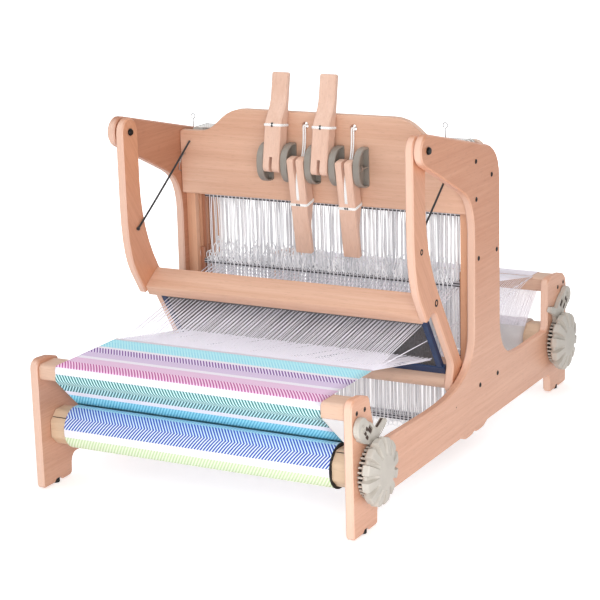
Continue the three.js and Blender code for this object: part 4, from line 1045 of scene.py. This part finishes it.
def make_pawls():
    """Rim, and dark insets that paint the shade in the slots and in the hollow of the finger tab, on each
    pawl.
    """
    count = len(ROUNDED)
    for word, mirror in (("front", 1), ("rear", -1)):
        def spot(x, y, z):
            return at(x, y if mirror > 0 else DEPTH - y, z)

        def add_faces(base, faces):
            for face in faces:
                dark.faces.append(facing([base + q for q in face], mirror > 0))

        rim = Build()
        for edge in PAWL_EDGES:
            rim.tube(smooth_line([spot(313.6, y, z) for y, z in edge], 3), 0.0009, 6)
        rim.done(f"{word}_pawl_rim", grey_beige, f"{word}_pawl", slot="plastic")
        dark = Build()
        # Dark insets paint the shade inside the slots.
        for y, z, dy, dz, wide, x in PAWL_SLOTS:
            along = Vector((0, dy * mirror, dz))
            across = Vector((0, wide * mirror * 0.68, wide * 0.73))
            base = len(dark.verts)
            for depth in (-0.5, 0.0):
                for sa, sb in ROUNDED:
                    dark.verts.append(spot(x + depth, y, z) + (along * sa + across * sb) * 0.001)
            add_faces(base, (range(count - 1, -1, -1), range(count, 2 * count)))
            add_faces(base, [(i, (i + 1) % count, count + (i + 1) % count, count + i) for i in range(count)])
        # The tab is hollow on its upper side; a dark box paints the shade in it.
        base = len(dark.verts)
        for up in (0.0, 0.35):
            for y, z in ((76, 167.5), (96.2, 176.4)):
                for x in (308, 312):
                    dark.verts.append(spot(x, y - 0.4 * up, z + up - 0.1))
        add_faces(base, BOX_FACES)
        dark.done(f"{word}_pawl_slots", recess_shade, f"{word}_pawl", slot="plastic", smooth=False)


# Each ring of a knob's grip: its share of the outer radius, how far it lies behind the crown and the
# share of a notch's depth that it takes part in.
GRIP_RINGS = (
    (0, 0, 0), (0.2, 0.1, 0), (0.42, 0.5, 0), (0.5, 0.9, 0), (0.66, 2.0, 0.5), (0.8, 3.6, 0.92),
    (0.9, 5.2, 1), (0.975, 6.8, 1), (1.0, 8.6, 1), (1.0, 17.5, 0.4), (0.97, 19.2, 0), (0.93, 20.9, 0),
    (0, 20.9, 0),
)
LOBES = 12
CROWN_X = 336.6
NOTCH_R = 49.6
LOBE_R = 6.2
TEETH = 36
RATCHET_X = (306.0, 315.6)
RATCHET_BORE = 10


def lobe(a):
    """0 in a notch of the grip and 1 on a lobe, with short steep slopes between."""
    t = (a / TURN * LOBES) % 1.0
    return max(0.0, min(t / 0.06, 1.0, (0.71 - t) / 0.07))


def make_grip(word, centre, body, mirror):
    steps = 240
    verts, faces = [], []
    for share, behind, cut in GRIP_RINGS:
        for s in range(steps):
            a = TURN * (s + 0.5) / steps
            shape = lobe(a)
            r = share * (NOTCH_R + LOBE_R * (1 if share < 0.6 else shape))
            x = CROWN_X - behind - (0 if behind > 17 else (1 - shape) * cut * 6.0)
            verts.append(at(x, centre + mirror * r * math.cos(a), ROLLER_Z + r * math.sin(a)))
    for i in range(len(GRIP_RINGS) - 1):
        for s in range(steps):
            t = (s + 1) % steps
            a, b = i * steps, (i + 1) * steps
            faces.append(facing((a + s, b + s, b + t, a + t), mirror > 0))
    piece(f"{word}_grip", verts, faces, grey_beige, body, replaces=[f"{word}_knob"], slot="plastic", sharp=22)


def make_ratchet(word, centre, body, mirror):
    """The ratchet behind the grip: its toothed rim and the side that faces outward."""
    ring = Build()
    angles, outline = [], []
    for i in range(TEETH):
        for part, radius in ((0, 39.5), (0.36, 39.5), (0.5, 46), (0.88, 46)):
            a = TURN * (i + part) / TEETH
            outline.append((mirror * radius * math.cos(a), radius * math.sin(a)))
            angles.append(math.atan2(outline[-1][1], outline[-1][0]))
    count = len(outline)
    for x in RATCHET_X:
        ring.verts += [at(x, centre + y, ROLLER_Z + z) for y, z in outline]
    for x in RATCHET_X:
        ring.verts += circle(x, centre, ROLLER_Z, RATCHET_BORE, angles)
    for i in range(count):
        j = (i + 1) % count
        for quad in ((i, j, count + j, count + i), (i, 2 * count + i, 2 * count + j, j)):
            ring.faces.append(facing(quad, mirror > 0))
    ring.done(f"{word}_ratchet", ratchet_material(word, centre), body, slot="plastic", smooth=False)


def make_knobs():
    for word, centre, body in ROLLERS:
        mirror = 1 if word == "front" else -1
        make_grip(word, centre, body, mirror)
        make_ratchet(word, centre, body, mirror)
        # A raised ring and a rivet on the pawl's boss.
        y = 20 if word == "front" else DEPTH - 20
        boss = Build()
        boss.tube(circle(315.9, y, PAWL_Z, 6.2, [TURN * s / 28 for s in range(28)]), 0.0009, 6, closed=True)
        profile = [(-0.001, 0.0036), (0.0008, 0.0036), (0.0012, 0.003), (0.0002, 0.0022), (0.0002, 0.0005)]
        boss.turned(profile, at(315.6, y, PAWL_Z), (1, 0, 0), 16)
        boss.done(f"{word}_pawl_ring", grey_beige, f"{word}_pawl", slot="plastic")


# Screws of the side frames and, with a scale each, of the beater's arms, as (y, z).
FRAME_SCREWS = (
    (495, 521), (496, 454), (565, 486), (505, 347), (587, 346), (509, 114), (590, 114), (19, 206), (47, 205),
    (896, 203), (925, 207),
)
BEATER_SCREWS = ((-89, -148, 1.3), (-96, -264, 1.6), (-88, -441, 1), (-117, -441, 1))


def make_screws():
    for side, word in SIDES:
        b = Build()
        sockets = Build()
        for y, z in FRAME_SCREWS:
            # The heads beside the beams' pins are sunk deeper.
            proud = 0.0003 if 200 < z < 210 else 0.0008
            profile = [(-0.001, 0.0044), (proud - 0.0005, 0.0044), (proud, 0.0037), (proud, 0.0026)]
            profile += [(-0.0004, 0.0022), (-0.0004, 0.0004)]
            b.turned(profile, at(side * HALF, y, z), (side, 0, 0), 18)
            # Dark discs: painted shade inside the screws' sockets, and at one more spot on the frame.
            sockets.turned([(-0.0003, 0.0023), (0.0002, 0.0023)], at(side * HALF, y, z), (side, 0, 0), 6)
        sockets.turned([(-0.0003, 0.0014), (0.0001, 0.0014)], at(side * HALF, 403, 103), (side, 0, 0), 8)
        b.done(f"frame_screws_{word}", dark_steel, "frame", slot="steel")
        sockets.done(f"frame_sockets_{word}", rubber, "frame", slot="steel", smooth=False)
        c = Build()
        profile = [(-0.001, 0.0042), (0.0002, 0.0042), (0.0006, 0.0034), (0.0006, 0.0024)]
        profile += [(-0.0004, 0.002), (-0.0004, 0.0004)]
        for y, z, size in BEATER_SCREWS:
            centre = on_beater(Vector((side * 288.5, y, z)))
            c.turned([(along, radius * size) for along, radius in profile], centre, (side, 0, 0), 18)
        c.done(f"beater_screws_{word}", dark_steel, "beater", slot="steel")


def make_grooves():
    """The saw cut along each roller that holds the tie-on rod, seen beside the windings: a thin dark rod
    paints the shade inside the cut.
    """
    for word, centre, body in ROLLERS:
        b = Build()
        for low, high, away, z in ((-288, -258.5, 24.5, 120.5), (255, 288, 16.5, 128.5)):
            y = centre - away if word == "front" else centre + away
            b.tube([at(low, y, z), at(high, y, z)], 0.0008, 6)
        b.done(f"{word}_roller_groove", rubber, body, slot="foot_rubber", smooth=False)


def make_wire_parts():
    """Two wire eyes and a hook on the frame."""
    b = Build()
    for x, y, z in ((-297, 550, 543), (297, 385, 582)):
        pts = [at(x, y, z - 4), at(x, y, z + 9), at(x + 1, y - 1, z + 14)]
        for s in range(11):
            a = -math.pi / 2 + TURN * s / 11
            pts.append(at(x + 4.2 * math.cos(a), y, z + 19 + 4.6 * math.sin(a)))
        b.tube(pts, 0.0008, 6)
    hook = ((-279, 488, 503), (-280, 480, 500), (-283, 474, 488), (-286, 474, 474), (-283, 478, 470))
    b.tube([at(*place) for place in hook], 0.0009, 6)
    b.done("wire_eyes", steel, "frame", slot="steel")


def dress_all():
    """Materials and smooth shading for the CAD nodes that stay in the picture."""
    plan = (
        (wood_y_shaded, "left_side_frame"),
        (wood_y_lit, "right_side_frame"),
        (wood_x2, "breast_beam back_beam castle_rear_board beater_bottom_rail"),
        (wood_x, "castle_front_board beater_top_rail"),
        (wood_guide, "left_shaft_guide right_shaft_guide"),
        (wood_arm, "beater_left_arm beater_right_arm"),
        (wood_pale_x, "cloth_beam warp_beam"),
        (grey_beige, "front_pawl rear_pawl"),
        (pulley_white, "left_pulleys right_pulleys"),
        (steel, "lever_axle"),
        (dark_steel, "left_pivot_bolt right_pivot_bolt"),
        (rubber, "front_left_foot front_right_foot rear_left_foot rear_right_foot"),
        (wood_lever, "lever_1 lever_2 lever_3 lever_4"),
        (shaft_material(), "shaft_1 shaft_2 shaft_3 shaft_4"),
        (bracket_grey, "lever_bracket_1 lever_bracket_2 lever_bracket_3 lever_bracket_4 lever_bracket_5"),
    )
    smooth = smooth_group()
    for material, names in plan:
        for name in names.split():
            slots = nodes[name].data.materials
            slots.clear()
            slots.append(material)
            nodes[name].modifiers.new("smooth", "NODES").node_group = smooth


bpy.context.scene.view_settings.view_transform = "Standard"
make_camera()
make_light()
make_floor()
dress_all()
make_cloth()
make_warp()
make_heddles()
make_reed()
make_lift_cords()
make_elastics()
make_knobs()
make_pawls()
make_screws()
make_grooves()
make_wire_parts()
